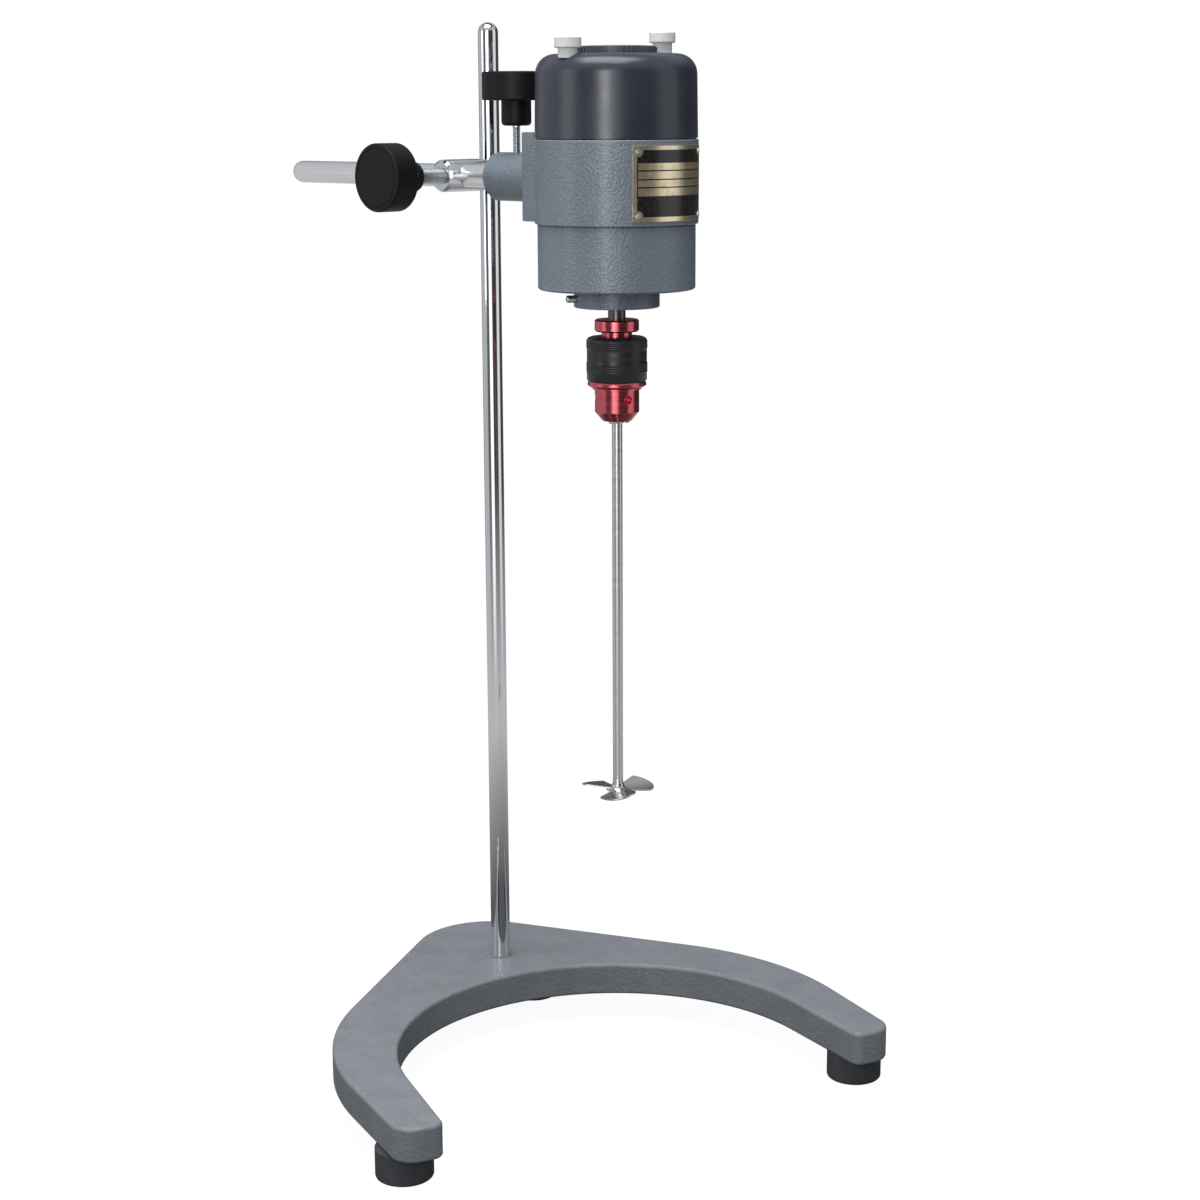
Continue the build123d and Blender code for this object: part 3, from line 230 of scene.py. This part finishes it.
class Finish:
    """One material: its Principled shader and the graph that feeds it."""

    def __init__(self, name, colour, metallic=0.0, roughness=0.5, **plain):
        self.material = bpy.data.materials.new(name)
        self.material.use_nodes = True
        self.graph = Graph(self.material.node_tree)
        self.shader = self.material.node_tree.nodes["Principled BSDF"]
        self.shader.inputs["Base Color"].default_value = (*colour, 1)
        self.shader.inputs["Metallic"].default_value = metallic
        self.shader.inputs["Roughness"].default_value = roughness
        for label, value in plain.items():
            self.shader.inputs[label.replace("_", " ")].default_value = value
        self.material.diffuse_color = (*colour, 1)

    def effect(self, tree, **values):
        node = self.graph.add("Group", node_tree=tree)
        for label, value in values.items():
            node.inputs[label].default_value = value
        return node.outputs

    def colour(self, socket):
        self.graph.put(self.shader.inputs["Base Color"], socket)

    def rough(self, socket):
        self.graph.put(self.shader.inputs["Roughness"], socket)

    def bump(self, height, distance, strength=1.0, rounded=0.0):
        inputs = {"Height": height, "Distance": distance, "Strength": strength}
        node = self.graph.add("Bump", inputs)
        if rounded:
            soft = self.graph.add("Bevel", {"Radius": rounded}, samples=6)
            self.graph.put(node.inputs["Normal"], soft.outputs["Normal"])
        self.graph.put(self.shader.inputs["Normal"], node.outputs["Normal"])


def shade(colour, factor):
    return tuple(channel * factor for channel in colour) + (1,)


def hammertone():
    body = (0.212, 0.256, 0.305)
    finish = Finish("hammertone grey", body, roughness=0.34, Coat_Weight=0.2, Coat_Roughness=0.2)
    graph = finish.graph
    grain = finish.effect(HAMMER, Size=0.0017)
    tone = graph.mix(graph.ramp(grain["Tone"], 0.25, 0.8), shade(body, 0.88), shade(body, 1.12))
    worn = finish.effect(EDGE_WEAR, Width=0.0006, Amount=0.35)["Mask"]
    dust = finish.effect(DUST, Amount=0.16, Size=0.02)["Mask"]
    dusty = graph.mix(dust, tone, (0.42, 0.43, 0.44, 1))
    finish.colour(graph.mix(worn, dusty, (0.34, 0.37, 0.40, 1)))
    finish.rough(graph.ramp(graph.math("ADD", grain["Tone"], dust), 0.2, 1.0, 0.24, 0.44))
    finish.bump(grain["Height"], 0.00032, 0.8, rounded=0.0005)
    return finish.material


def smooth_cap_paint():
    body = (0.036, 0.042, 0.060)
    finish = Finish("dark cap enamel", body, roughness=0.34, Coat_Weight=0.12, Coat_Roughness=0.25)
    graph = finish.graph
    peel = finish.effect(CAST_SKIN, Size=0.003, Nibs=0.0)
    tone = graph.mix(peel["Tone"], shade(body, 0.9), shade(body, 1.12))
    dust = finish.effect(DUST, Amount=0.10, Size=0.018)["Mask"]
    worn = finish.effect(EDGE_WEAR, Width=0.0005, Amount=0.15)["Mask"]
    dusty = graph.mix(dust, tone, (0.15, 0.16, 0.18, 1))
    finish.colour(graph.mix(worn, dusty, (0.22, 0.23, 0.25, 1)))
    finish.rough(graph.ramp(graph.math("ADD", peel["Tone"], dust), 0.3, 1.0, 0.26, 0.40))
    finish.bump(peel["Height"], 0.00010, 0.35, rounded=0.0005)
    return finish.material


def base_paint():
    body = (0.232, 0.252, 0.281)
    finish = Finish("base grey paint", body, roughness=0.42, Coat_Weight=0.15, Coat_Roughness=0.25)
    graph = finish.graph
    skin = finish.effect(CAST_SKIN, Size=0.0032, Nibs=0.8)
    tone = graph.mix(graph.ramp(skin["Tone"], 0.3, 0.75), shade(body, 0.9), shade(body, 1.1))
    dust = finish.effect(DUST, Amount=0.35, Size=0.006)["Mask"]
    dusty = graph.mix(dust, tone, (0.31, 0.31, 0.315, 1))
    worn = finish.effect(EDGE_WEAR, Width=0.0016, Amount=0.45)["Mask"]
    finish.colour(graph.mix(worn, dusty, (0.40, 0.42, 0.44, 1)))
    finish.rough(graph.ramp(graph.math("ADD", skin["Tone"], dust), 0.3, 1.1, 0.34, 0.6))
    finish.bump(skin["Height"], 0.0010, 0.7, rounded=0.0012)
    return finish.material


def rubber():
    body = (0.058, 0.060, 0.068)
    finish = Finish("dusty rubber", body, roughness=0.75, Specular_IOR_Level=0.35)
    graph = finish.graph
    skin = finish.effect(CAST_SKIN, Size=0.0035, Nibs=0.8)
    dust = finish.effect(DUST, Amount=0.75, Size=0.012)["Mask"]
    finish.colour(graph.mix(dust, shade(body, 1.0), (0.115, 0.118, 0.122, 1)))
    finish.rough(graph.ramp(dust, 0.0, 0.6, 0.62, 0.9))
    finish.bump(skin["Height"], 0.0004, 0.6, rounded=0.0008)
    return finish.material


def plated(name, body, rough, smear=0.05, rounded=0.0003):
    """Bright plating: clean metal with faint smears in its gloss."""
    finish = Finish(name, body, metallic=1.0, roughness=rough)
    graph = finish.graph
    cloud = graph.noise(graph.stretched(graph.place(), (30, 30, 12)), 1.0, 5.0, 0.6)
    finish.colour(graph.mix(cloud, shade(body, 0.93), shade(body, 1.0)))
    finish.rough(graph.ramp(cloud, 0.4, 0.7, rough, rough + smear))
    wave = graph.noise(graph.place(), 60.0, 1.0)
    finish.bump(wave, 0.00004, 0.2, rounded=rounded)
    return finish.material


def machined(name, body, rough, pitch, depth=0.00002, contrast=0.12):
    """Turned metal: lathe lines round the upright axis."""
    finish = Finish(name, body, metallic=1.0, roughness=rough)
    graph = finish.graph
    lines = finish.effect(TOOL_LINES, Pitch=pitch)
    finish.colour(graph.mix(lines["Tone"], shade(body, 1 - contrast), shade(body, 1.0)))
    finish.rough(graph.ramp(lines["Tone"], 0.3, 0.7, rough, rough + 0.12))
    finish.bump(lines["Height"], depth, 0.5, rounded=0.0002)
    return finish.material


def satin_bar():
    body = (0.93, 0.93, 0.93)
    finish = Finish("satin bright bar", body, metallic=1.0, roughness=0.3)
    graph = finish.graph
    inputs = {"Vector": graph.place(), "Angle": -HEAD_TURN}
    turned = graph.add("VectorRotate", inputs, rotation_type="Z_AXIS")
    drawn = graph.noise(graph.stretched(turned.outputs[0], (900, 8, 900)), 1.0, 2.0)
    finish.colour(graph.mix(drawn, shade(body, 0.88), shade(body, 1.05)))
    finish.rough(graph.ramp(drawn, 0.3, 0.7, 0.24, 0.36))
    finish.bump(drawn, 0.00002, 0.4, rounded=0.0003)
    return finish.material


def moulded(name, body, rough, size=0.0006, depth=0.00004, dust_amount=0.2,
            grime=(0.12, 0.12, 0.125, 1), gloss=0.45):
    """Moulded plastic with a fine spark-eroded grain."""
    finish = Finish(name, body, roughness=rough, Specular_IOR_Level=gloss)
    graph = finish.graph
    grain = graph.noise(graph.place(), 1 / size, 2.0, 0.6)
    dust = finish.effect(DUST, Amount=dust_amount, Size=0.01)["Mask"]
    shaded = graph.mix(graph.noise(graph.place(), 90.0, 3.0), shade(body, 0.85), shade(body, 1.15))
    finish.colour(graph.mix(dust, shaded, grime))
    finish.rough(graph.ramp(graph.math("ADD", grain, dust), 0.3, 1.0, rough - 0.06, rough + 0.12))
    finish.bump(grain, depth, 0.6, rounded=0.0006)
    return finish.material


def nylon():
    body = (1.0, 1.0, 0.99)
    finish = Finish("white nylon", body, roughness=0.42, Subsurface_Weight=0.15,
                    Subsurface_Scale=0.002)
    graph = finish.graph
    cloud = graph.noise(graph.place(), 140.0, 3.0)
    dust = finish.effect(DUST, Amount=0.12, Size=0.006)["Mask"]
    clean = graph.mix(cloud, shade(body, 0.96), shade(body, 1.0))
    finish.colour(graph.mix(dust, clean, (0.85, 0.85, 0.83, 1)))
    finish.rough(graph.ramp(cloud, 0.3, 0.7, 0.5, 0.6))
    finish.bump(cloud, 0.00004, 0.4, rounded=0.0005)
    return finish.material


def brass():
    body = (0.95, 0.80, 0.54)
    finish = Finish("satin brass", body, metallic=1.0, roughness=0.34)
    graph = finish.graph
    brushed = graph.noise(graph.stretched(graph.place(), (60, 60, 2600)), 1.0, 3.0)
    tarnish = graph.ramp(graph.noise(graph.place(), 130.0, 5.0, 0.65), 0.5, 0.8)
    clean = graph.mix(brushed, shade(body, 0.82), shade(body, 1.1))
    finish.colour(graph.mix(graph.math("MULTIPLY", tarnish, 0.55), clean, (0.20, 0.13, 0.06, 1)))
    finish.rough(graph.ramp(tarnish, 0.0, 1.0, 0.28, 0.5))
    finish.bump(brushed, 0.00003, 0.4, rounded=0.0002)
    return finish.material


def plate_enamel():
    body = (0.012, 0.011, 0.011)
    finish = Finish("plate enamel", body, roughness=0.3, Coat_Weight=0.3, Coat_Roughness=0.15)
    graph = finish.graph
    scuff = graph.ramp(graph.noise(graph.place(), 420.0, 5.0, 0.7), 0.52, 0.74)
    bared = graph.math("MULTIPLY", scuff, 0.3)
    finish.colour(graph.mix(bared, shade(body, 1.0), (0.10, 0.085, 0.06, 1)))
    finish.rough(graph.ramp(scuff, 0.0, 1.0, 0.26, 0.5))
    finish.bump(graph.noise(graph.place(), 900.0, 2.0), 0.00003, 0.4)
    return finish.material


def red_anodised():
    body = (0.68, 0.13, 0.16)
    finish = Finish("red anodised", body, metallic=1.0, roughness=0.16)
    graph = finish.graph
    lines = finish.effect(TOOL_LINES, Pitch=0.0003)
    dyed = graph.mix(lines["Tone"], shade(body, 0.75), shade(body, 1.15))
    worn = finish.effect(EDGE_WEAR, Width=0.0004, Amount=0.7)["Mask"]
    finish.colour(graph.mix(worn, dyed, (0.72, 0.52, 0.52, 1)))
    finish.rough(graph.ramp(lines["Tone"], 0.3, 0.7, 0.13, 0.24))
    finish.bump(lines["Height"], 0.00002, 0.5, rounded=0.0003)
    return finish.material


def black_grip():
    body = (0.034, 0.034, 0.038)
    finish = Finish("blackened grip", body, metallic=0.55, roughness=0.38)
    graph = finish.graph
    lines = finish.effect(TOOL_LINES, Pitch=0.0004)
    worn = finish.effect(EDGE_WEAR, Width=0.0003, Amount=0.55)["Mask"]
    dust = finish.effect(DUST, Amount=0.25, Size=0.008)["Mask"]
    shaded = graph.mix(lines["Tone"], shade(body, 0.8), shade(body, 1.2))
    dusty = graph.mix(dust, shaded, (0.16, 0.16, 0.165, 1))
    finish.colour(graph.mix(worn, dusty, (0.30, 0.30, 0.31, 1)))
    finish.rough(graph.ramp(lines["Tone"], 0.3, 0.7, 0.33, 0.46))
    finish.bump(lines["Height"], 0.00003, 0.5, rounded=0.0002)
    return finish.material


def stainless():
    body = (0.66, 0.645, 0.63)
    finish = Finish("ground stainless", body, metallic=1.0, roughness=0.2)
    graph = finish.graph
    lines = finish.effect(TOOL_LINES, Pitch=0.0005)
    streak = graph.noise(graph.stretched(graph.place(), (420, 420, 9)), 1.0, 3.0, 0.6)
    both = graph.math("MULTIPLY", graph.math("ADD", lines["Tone"], streak), 0.5)
    finish.colour(graph.mix(both, shade(body, 0.85), shade(body, 1.1)))
    finish.rough(graph.ramp(both, 0.35, 0.65, 0.15, 0.3))
    finish.bump(graph.math("ADD", lines["Height"], streak), 0.000015, 0.4, rounded=0.0002)
    return finish.material


def wound_copper():
    body = (0.55, 0.20, 0.07)
    finish = Finish("enamelled copper", body, metallic=1.0, roughness=0.32, Coat_Weight=0.6)
    graph = finish.graph
    lines = finish.effect(TOOL_LINES, Pitch=0.0006)
    finish.colour(graph.mix(lines["Tone"], shade(body, 0.6), shade(body, 1.15)))
    finish.bump(lines["Height"], 0.00025, 0.8)
    return finish.material


chrome = plated("chrome plate", (0.80, 0.81, 0.82), 0.045, smear=0.05)
zinc = plated("zinc plate", (0.62, 0.66, 0.67), 0.24, smear=0.12)
blued = machined("blued steel", (0.13, 0.12, 0.13), 0.24, 0.0005)
bright_steel = machined("ground steel", (0.55, 0.55, 0.56), 0.2, 0.0004)
lamination = machined("stacked lamination", (0.30, 0.31, 0.33), 0.4, 0.0006, depth=0.0001,
                      contrast=0.3)
rivet_metal = plated("rivet metal", (0.92, 0.91, 0.88), 0.3, smear=0.1, rounded=0.0004)
inner_casting = plated("bare casting", (0.52, 0.53, 0.54), 0.5, smear=0.1)
knob_black = moulded("knob moulding", (0.006, 0.006, 0.0075), 0.5, dust_amount=0.1,
                      grime=(0.022, 0.022, 0.026, 1), gloss=0.22)
cover_black = moulded("cover moulding", (0.092, 0.092, 0.125), 0.38, dust_amount=0.35,
                       grime=(0.16, 0.16, 0.19, 1))
gland_black = moulded("gland moulding", (0.018, 0.018, 0.019), 0.5)
holder_black = moulded("brush holder moulding", (0.02, 0.018, 0.016), 0.5)
carbon = moulded("pressed carbon", (0.02, 0.02, 0.021), 0.6, size=0.0004)
hammer_paint = hammertone()
cap_paint = smooth_cap_paint()
base_grey = base_paint()
foot_rubber = rubber()
bar_finish = satin_bar()
white_nylon = nylon()
brass_finish = brass()
enamel = plate_enamel()
red = red_anodised()
grip_black = black_grip()
stainless_finish = stainless()
copper = wound_copper()

FINISHES = {
    base_grey: ["base_casting"],
    foot_rubber: ["foot_front_left", "foot_front_right", "foot_rear_left", "foot_rear_right"],
    zinc: ["foot_screws", "rod_washer", "rod_nut", "side_screw", "top_screw", "collar_screw",
           "housing_bolts"],
    chrome: ["stand_rod", "cross_clamp", "clamp_end_cap"],
    blued: ["rod_set_screw", "spindle"],
    bar_finish: ["support_arm"],
    brass_finish: ["nameplate", "side_pad", "top_pad"],
    knob_black: ["side_knob", "top_knob"],
    hammer_paint: ["mid_housing", "lower_housing", "bearing_collar"],
    cap_paint: ["top_cap"],
    cover_black: ["vent_cover"],
    white_nylon: ["cap_screw_left", "cap_screw_right"],
    rivet_metal: ["nameplate_rivets"],
    gland_black: ["cable_gland"],
    lamination: ["stator_core", "armature_core"],
    copper: ["field_coils", "armature_winding", "commutator"],
    inner_casting: ["bearing_bracket"],
    carbon: ["carbon_brushes"],
    holder_black: ["brush_holders", "cooling_fan"],
    red: ["chuck_body", "chuck_top_ring", "chuck_flange_ring"],
    grip_black: ["chuck_sleeve"],
    bright_steel: ["jaw_nut", "jaw_1", "jaw_2", "jaw_3"],
    stainless_finish: ["stirrer_shaft", "propeller"],
}
for which in ("upper", "lower"):
    parts = ("outer_ring", "balls", "inner_ring")
    FINISHES[bright_steel] += [f"{which}_bearing_{part}" for part in parts]

for finish, names in FINISHES.items():
    for name in names:
        mesh = nodes[name].data
        if not mesh.materials:
            mesh.materials.append(finish)
        for index in range(len(mesh.materials)):
            mesh.materials[index] = finish

bare = sorted(set(nodes) - {name for names in FINISHES.values() for name in names})
print("nodes without a finish:", bare)


# ---- pieces made in mesh code ----
def piece(name, shape, finish, body, crisp=35):
    """Turns a bmesh into one object that rides on a body, smooth but for its crisp corners."""
    bmesh.ops.remove_doubles(shape, verts=shape.verts, dist=1e-6)
    bmesh.ops.holes_fill(shape, edges=[edge for edge in shape.edges if edge.is_boundary])
    bmesh.ops.recalc_face_normals(shape, faces=shape.faces)
    mesh = bpy.data.meshes.new(name)
    shape.to_mesh(mesh)
    shape.free()
    mesh.materials.append(finish)
    mesh.shade_smooth()
    mesh.set_sharp_from_angle(angle=radians(crisp))
    made = bpy.data.objects.new(name, mesh)
    bpy.context.scene.collection.objects.link(made)
    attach(made, body)
    return made


def grid(shape, rows):
    """Faces between neighbouring rows of points."""
    made = [[shape.verts.new(point) for point in row] for row in rows]
    for near, far in zip(made, made[1:]):
        for index in range(len(near) - 1):
            shape.faces.new((near[index], near[index + 1], far[index + 1], far[index]))


def lathed(shape, centre, profile, columns):
    """Ring of revolution; a corner is its radius on even and odd columns, then its height."""
    corners = profile + profile[:1]
    rows = []
    for column in range(columns + 1):
        turn = 2 * pi * column / columns
        radii = [corner[column % columns % 2] for corner in corners]
        rows.append([centre + Vector((radius * cos(turn), radius * sin(turn), corner[2]))
                     for radius, corner in zip(radii, corners)])
    grid(shape, rows)


def threaded(shape, place, diameter, pitch, length, whole):
    """Cut thread from the tip at 0 along +Z, then a plain shank up to the whole length."""
    columns = 40
    crest = diameter / 2
    root = crest - 0.61 * pitch
    cut = [(0.0, root), (0.36, crest), (0.52, crest), (0.88, root)]
    rows = []
    for column in range(columns + 1):
        share = column / columns
        way = Vector((cos(2 * pi * share), sin(2 * pi * share), 0))
        row = []
        for turn in range(-1, int(length / pitch) + 2):
            for step, radius in cut:
                height = pitch * (turn + step + share)
                if not 0 < height < length:
                    height, radius = min(max(height, 0.0), length), root
                row.append(place @ (radius * way + height * UP))
        rows.append(row)
    grid(shape, rows)
    middle_of_shank = place @ Matrix.Translation((0, 0, (length + whole) / 2))
    bmesh.ops.create_cone(shape, cap_ends=True, segments=columns, radius1=crest, radius2=crest,
                          depth=whole - length, matrix=middle_of_shank)


def clamp_screws():
    """Threads of both clamp knobs, in place of their plain solids."""
    low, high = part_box("top_screw")
    tip = Vector(((low.x + high.x) / 2, (low.y + high.y) / 2, low.z))
    shape = bmesh.new()
    threaded(shape, Matrix.Translation(tip), TOP_SCREW_D, TOP_PITCH, KNOB_HUB_END - 0.001,
             high.z - low.z)
    screw = piece("top_screw_thread", shape, zinc, "top_knob_body")
    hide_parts("top_screw")
    centre = middle("side_screw")
    whole = SIDE_SCREW_L
    turn = SIDE_AXIS.to_track_quat("Z", "Y").to_matrix().to_4x4()
    tip = centre - SIDE_AXIS * whole / 2
    shape = bmesh.new()
    threaded(shape, Matrix.Translation(tip) @ turn, SIDE_SCREW_D, SIDE_PITCH, SIDE_SCREW_OUT,
             whole)
    screw = piece("side_screw_thread", shape, zinc, "side_knob_body")
    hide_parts("side_screw")


def grip_band(high, low, teeth):
    """Grooved band of the chuck sleeve, its crests notched on every other column."""
    step = (high - low) / 4
    corners = []
    for groove in range(4):
        top = high - groove * step
        corners += [(SLEEVE_R, SLEEVE_R, top)]
        crest = SLEEVE_R + 0.00045
        corners += [(crest, crest - teeth, top - share * step) for share in (0.3, 0.7)]
    return corners + [(SLEEVE_R, SLEEVE_R, low)]


def knurled_sleeve():
    """Chuck sleeve with two knurled grip bands, in place of its plain solid."""
    low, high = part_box("chuck_sleeve")
    top, end = high.z, low.z
    hole, bore, roof = 0.0117, 0.0185, 0.0027
    corners = [(hole, hole, top - roof), (hole, hole, top),
               (SLEEVE_R - 0.0027, SLEEVE_R - 0.0027, top),
               (SLEEVE_R - 0.0007, SLEEVE_R - 0.0007, top - 0.0009),
               (SLEEVE_R, SLEEVE_R, top - 0.0021)]
    corners += grip_band(top - 0.0024, top - 0.0084, 0.0002)
    corners += [(SLEEVE_R, SLEEVE_R, top - 0.0100), (SLEEVE_R, SLEEVE_R, top - 0.0172)]
    corners += grip_band(top - 0.0188, top - 0.0262, 0.0002)
    corners += [(SLEEVE_R, SLEEVE_R, end + 0.0005), (SLEEVE_R - 0.0004, SLEEVE_R - 0.0004, end)]
    corners += [(bore, bore, end), (bore, bore, top - roof)]
    shape = bmesh.new()
    lathed(shape, Vector((MOTOR_AXIS.x, MOTOR_AXIS.y, 0)), corners, 192)
    sleeve = piece("chuck_sleeve_knurled", shape, grip_black, "chuck_grip", crisp=40)
    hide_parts("chuck_sleeve")


def plate_field(name, low, high, finish, edge=PLATE_REACH, start=None):
    """Raised panel on the curved nameplate between two height functions of the angle."""
    shape = bmesh.new()
    rows = []
    first = -edge if start is None else start
    count = max(2, int(round((edge - first) / 0.25)))
    for index in range(count + 1):
        angle = first + (edge - first) * index / count
        way = Matrix.Rotation(radians(angle), 3, "Z") @ ARM_AXIS
        base = Vector((MOTOR_AXIS.x, MOTOR_AXIS.y, 0))
        bottom, top = low(angle), high(angle)
        raised = PLATE_R + ENAMEL_T
        corners = [(PLATE_R, bottom), (PLATE_R, top), (raised, top), (raised, bottom)]
        rows.append([base + way * radius + UP * height
                     for radius, height in corners + corners[:1]])
    grid(shape, rows)
    return piece(name, shape, finish, "motor")


def nameplate_fields():
    """Black enamel of the nameplate: a field above and below, thin rules between bare strips."""
    low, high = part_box("nameplate")
    top, bottom = high.z, low.z
    rivet_at = PLATE_REACH + 2.8 - degrees(0.004 / 0.0605)

    def notch(angle):
        off = PLATE_R * radians(abs(angle) - rivet_at)
        return sqrt(NOTCH_R ** 2 - off ** 2) if abs(off) < NOTCH_R else None

    def head(angle):
        cut = notch(angle)
        edge = top - 0.0029
        return edge if cut is None else min(edge, top - 0.004 - cut)

    def foot(angle):
        cut = notch(angle)
        edge = bottom + 0.0034
        return edge if cut is None else max(edge, bottom + 0.004 + cut)

    plate_field("nameplate_field_top", lambda angle: top - 0.0121, head, enamel)
    plate_field("nameplate_field_bottom", foot, lambda angle: top - 0.0353, enamel)
    for index, drop in enumerate((0.0170, 0.0232, 0.0288)):
        plate_field(f"nameplate_rule_{index + 1}", lambda angle: top - drop - 0.0009,
                    lambda angle: top - drop, enamel)
    for index, side in enumerate((-1, 1)):
        start = -PLATE_REACH if side < 0 else PLATE_REACH - 0.9
        plate_field(f"nameplate_edge_{index + 1}", lambda angle: top - 0.0353,
                    lambda angle: top - 0.0121, enamel, edge=start + 0.9, start=start)


def paint_bead():
    """Bead of paint where the stand rod enters the base."""
    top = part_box("base_casting")[1].z
    inner, outer = ROD_D / 2 + 0.0001, ROD_D / 2 + 0.0013
    corners = [(inner, inner, top), (inner, inner, top + 0.0012),
               (inner + 0.0004, inner + 0.0004, top + 0.0012),
               (outer - 0.0002, outer - 0.0002, top + 0.0005), (outer, outer, top)]
    shape = bmesh.new()
    lathed(shape, Vector((ROD_AXIS.x, ROD_AXIS.y, 0)), corners, 64)
    piece("rod_paint_bead", shape, base_grey, "base")


clamp_screws()
knurled_sleeve()
nameplate_fields()
paint_bead()


# ---- studio ----
def studio():
    """World: white to the camera, soft light from above, bands that gloss picks up."""
    world = bpy.data.worlds.new("studio")
    bpy.context.scene.world = world
    world.use_nodes = True
    tree = world.node_tree
    tree.nodes.clear()
    graph = Graph(tree)
    rays = graph.add("LightPath").outputs
    way = graph.add("SeparateXYZ", {0: graph.add("TexCoord").outputs["Generated"]}).outputs
    turn = graph.math("ARCTAN2", way["X"], graph.math("MULTIPLY", way["Y"], -1.0))
    share = graph.ramp(turn, -pi, pi)
    bands = graph.add("ValToRGB", {"Fac": share})
    stops = [(-180, 0.10), (-172, 0.12), (-162, 0.55), (-90, 0.50), (-84, 0.13), (-58, 0.12),
             (-50, 1.6), (-26, 1.6), (-18, 0.06), (28, 0.05), (38, 0.85), (64, 0.85), (74, 0.05),
             (104, 0.06), (180, 0.10)]
    marks = bands.color_ramp.elements
    while len(marks) < len(stops):
        marks.new(0.5)
    for mark, (angle, level) in zip(marks, stops):
        mark.position = angle / 360 + 0.5
        mark.color = (level * 0.98, level, level * 1.03, 1)
    low = graph.ramp(way["Z"], -0.16, -0.245)
    high = graph.ramp(way["Z"], 0.33, 0.6)
    zenith = graph.ramp(way["Z"], 0.72, 0.86)
    gloss = graph.mix(low, bands.outputs["Color"], (0.55, 0.56, 0.58, 1))
    gloss = graph.mix(high, gloss, (0.50, 0.52, 0.55, 1))
    gloss = graph.mix(zenith, gloss, (0.06, 0.06, 0.07, 1))
    rise = graph.ramp(way["Z"], 0.0, 1.0)
    soft = graph.mix(rise, (0.07, 0.073, 0.078, 1), (0.78, 0.79, 0.81, 1))
    plain = graph.mix(rays["Is Glossy Ray"], soft, gloss)
    seen = graph.math("MAXIMUM", rays["Is Camera Ray"], rays["Is Transmission Ray"])
    colour = graph.mix(seen, plain, (1, 1, 1, 1))
    back = graph.add("Background", {"Color": colour, "Strength": 1.0})
    out = graph.add("OutputWorld", {"Surface": back.outputs[0]})
    return out


def lamp(name, place, aim, size, power):
    data = bpy.data.lights.new(name, "AREA")
    data.shape = "RECTANGLE"
    data.size, data.size_y = size
    data.energy = power
    made = bpy.data.objects.new(name, data)
    bpy.context.scene.collection.objects.link(made)
    made.location = place
    made.rotation_euler = (Vector(aim) - Vector(place)).to_track_quat("-Z", "Y").to_euler()
    return made


def sweep():
    """Dim floor, lit up to white for the camera, with a faint shadow; it fades out far away. To
    glossy rays it glows as a painted reflection, held dark near the object as painted shade.
    """
    radius = 6.0
    mesh = bpy.data.meshes.new("floor")
    rim = [(radius * cos(2 * pi * k / 96), radius * sin(2 * pi * k / 96), 0) for k in range(96)]
    mesh.from_pydata(rim, [], [tuple(range(96))])
    floor = bpy.data.objects.new("floor", mesh)
    bpy.context.scene.collection.objects.link(floor)
    material = bpy.data.materials.new("pale floor")
    material.use_nodes = True
    graph = Graph(material.node_tree)
    shader = material.node_tree.nodes["Principled BSDF"]
    grain = graph.noise(graph.place(), 40.0, 3.0)
    tint = graph.mix(grain, (0.09, 0.09, 0.09, 1), (0.11, 0.11, 0.11, 1))
    graph.put(shader.inputs["Base Color"], tint)
    shader.inputs["Roughness"].default_value = 0.9
    shader.inputs["Specular IOR Level"].default_value = 0.1
    rays = graph.add("LightPath").outputs
    seen = graph.math("MAXIMUM", rays["Is Camera Ray"], rays["Is Transmission Ray"])
    reach = graph.add("VectorMath", {0: graph.place()}, operation="LENGTH").outputs["Value"]
    # Painted reflection: the floor glows to glossy rays, with none within 0.3 m of the origin as
    # painted shade near the object, rising to 0.45 at 0.9 m.
    painted_reflection_glow = graph.math("MULTIPLY", rays["Is Glossy Ray"], graph.ramp(reach, 0.3, 0.9, 0.0, 0.45))
    level = graph.math("ADD", graph.math("MULTIPLY", seen, 0.95), painted_reflection_glow)
    glow = graph.add("Emission", {"Color": (1, 1, 1, 1), "Strength": level})
    both = graph.add("AddShader", {0: shader.outputs[0], 1: glow.outputs[0]})
    clear = graph.math("MAXIMUM", seen, rays["Is Glossy Ray"])
    clear = graph.math("MULTIPLY", clear, graph.ramp(reach, 0.85, 1.3))
    open_air = graph.add("BsdfTransparent")
    mixed = graph.add("MixShader", {0: clear, 1: both.outputs[0], 2: open_air.outputs[0]})
    output = material.node_tree.nodes["Material Output"]
    graph.put(output.inputs["Surface"], mixed.outputs[0])
    mesh.materials.append(material)


studio()
sweep()
lamp("overhead softbox", (-0.3, -0.25, 2.4), (0, 0, 0.4), (1.5, 1.2), 31)
lamp("front softbox", (-1.65, -1.95, 0.95), (0, 0, 0.6), (0.42, 1.0), 12)
lamp("left softbox", (-2.3, 0.2, 1.0), (0, 0, 0.5), (0.8, 1.2), 5)

# ---- camera ----
CAMERA_PLACE = (-0.767, -1.662, 0.759)
CAMERA_PITCH = 12.0
CAMERA_YAW = -26.75
CAMERA_ROLL = -0.25
lens = bpy.data.cameras.new("camera")
lens.lens = 69.35
lens.sensor_width = 36.0
camera = bpy.data.objects.new("camera", lens)
bpy.context.scene.collection.objects.link(camera)
aim = Matrix.Rotation(radians(CAMERA_YAW), 4, "Z")
aim = aim @ Matrix.Rotation(radians(90 - CAMERA_PITCH), 4, "X")
aim = aim @ Matrix.Rotation(radians(CAMERA_ROLL), 4, "Z")
camera.matrix_world = Matrix.Translation(CAMERA_PLACE) @ aim
bpy.context.scene.camera = camera
bpy.context.scene.view_settings.view_transform = "Standard"
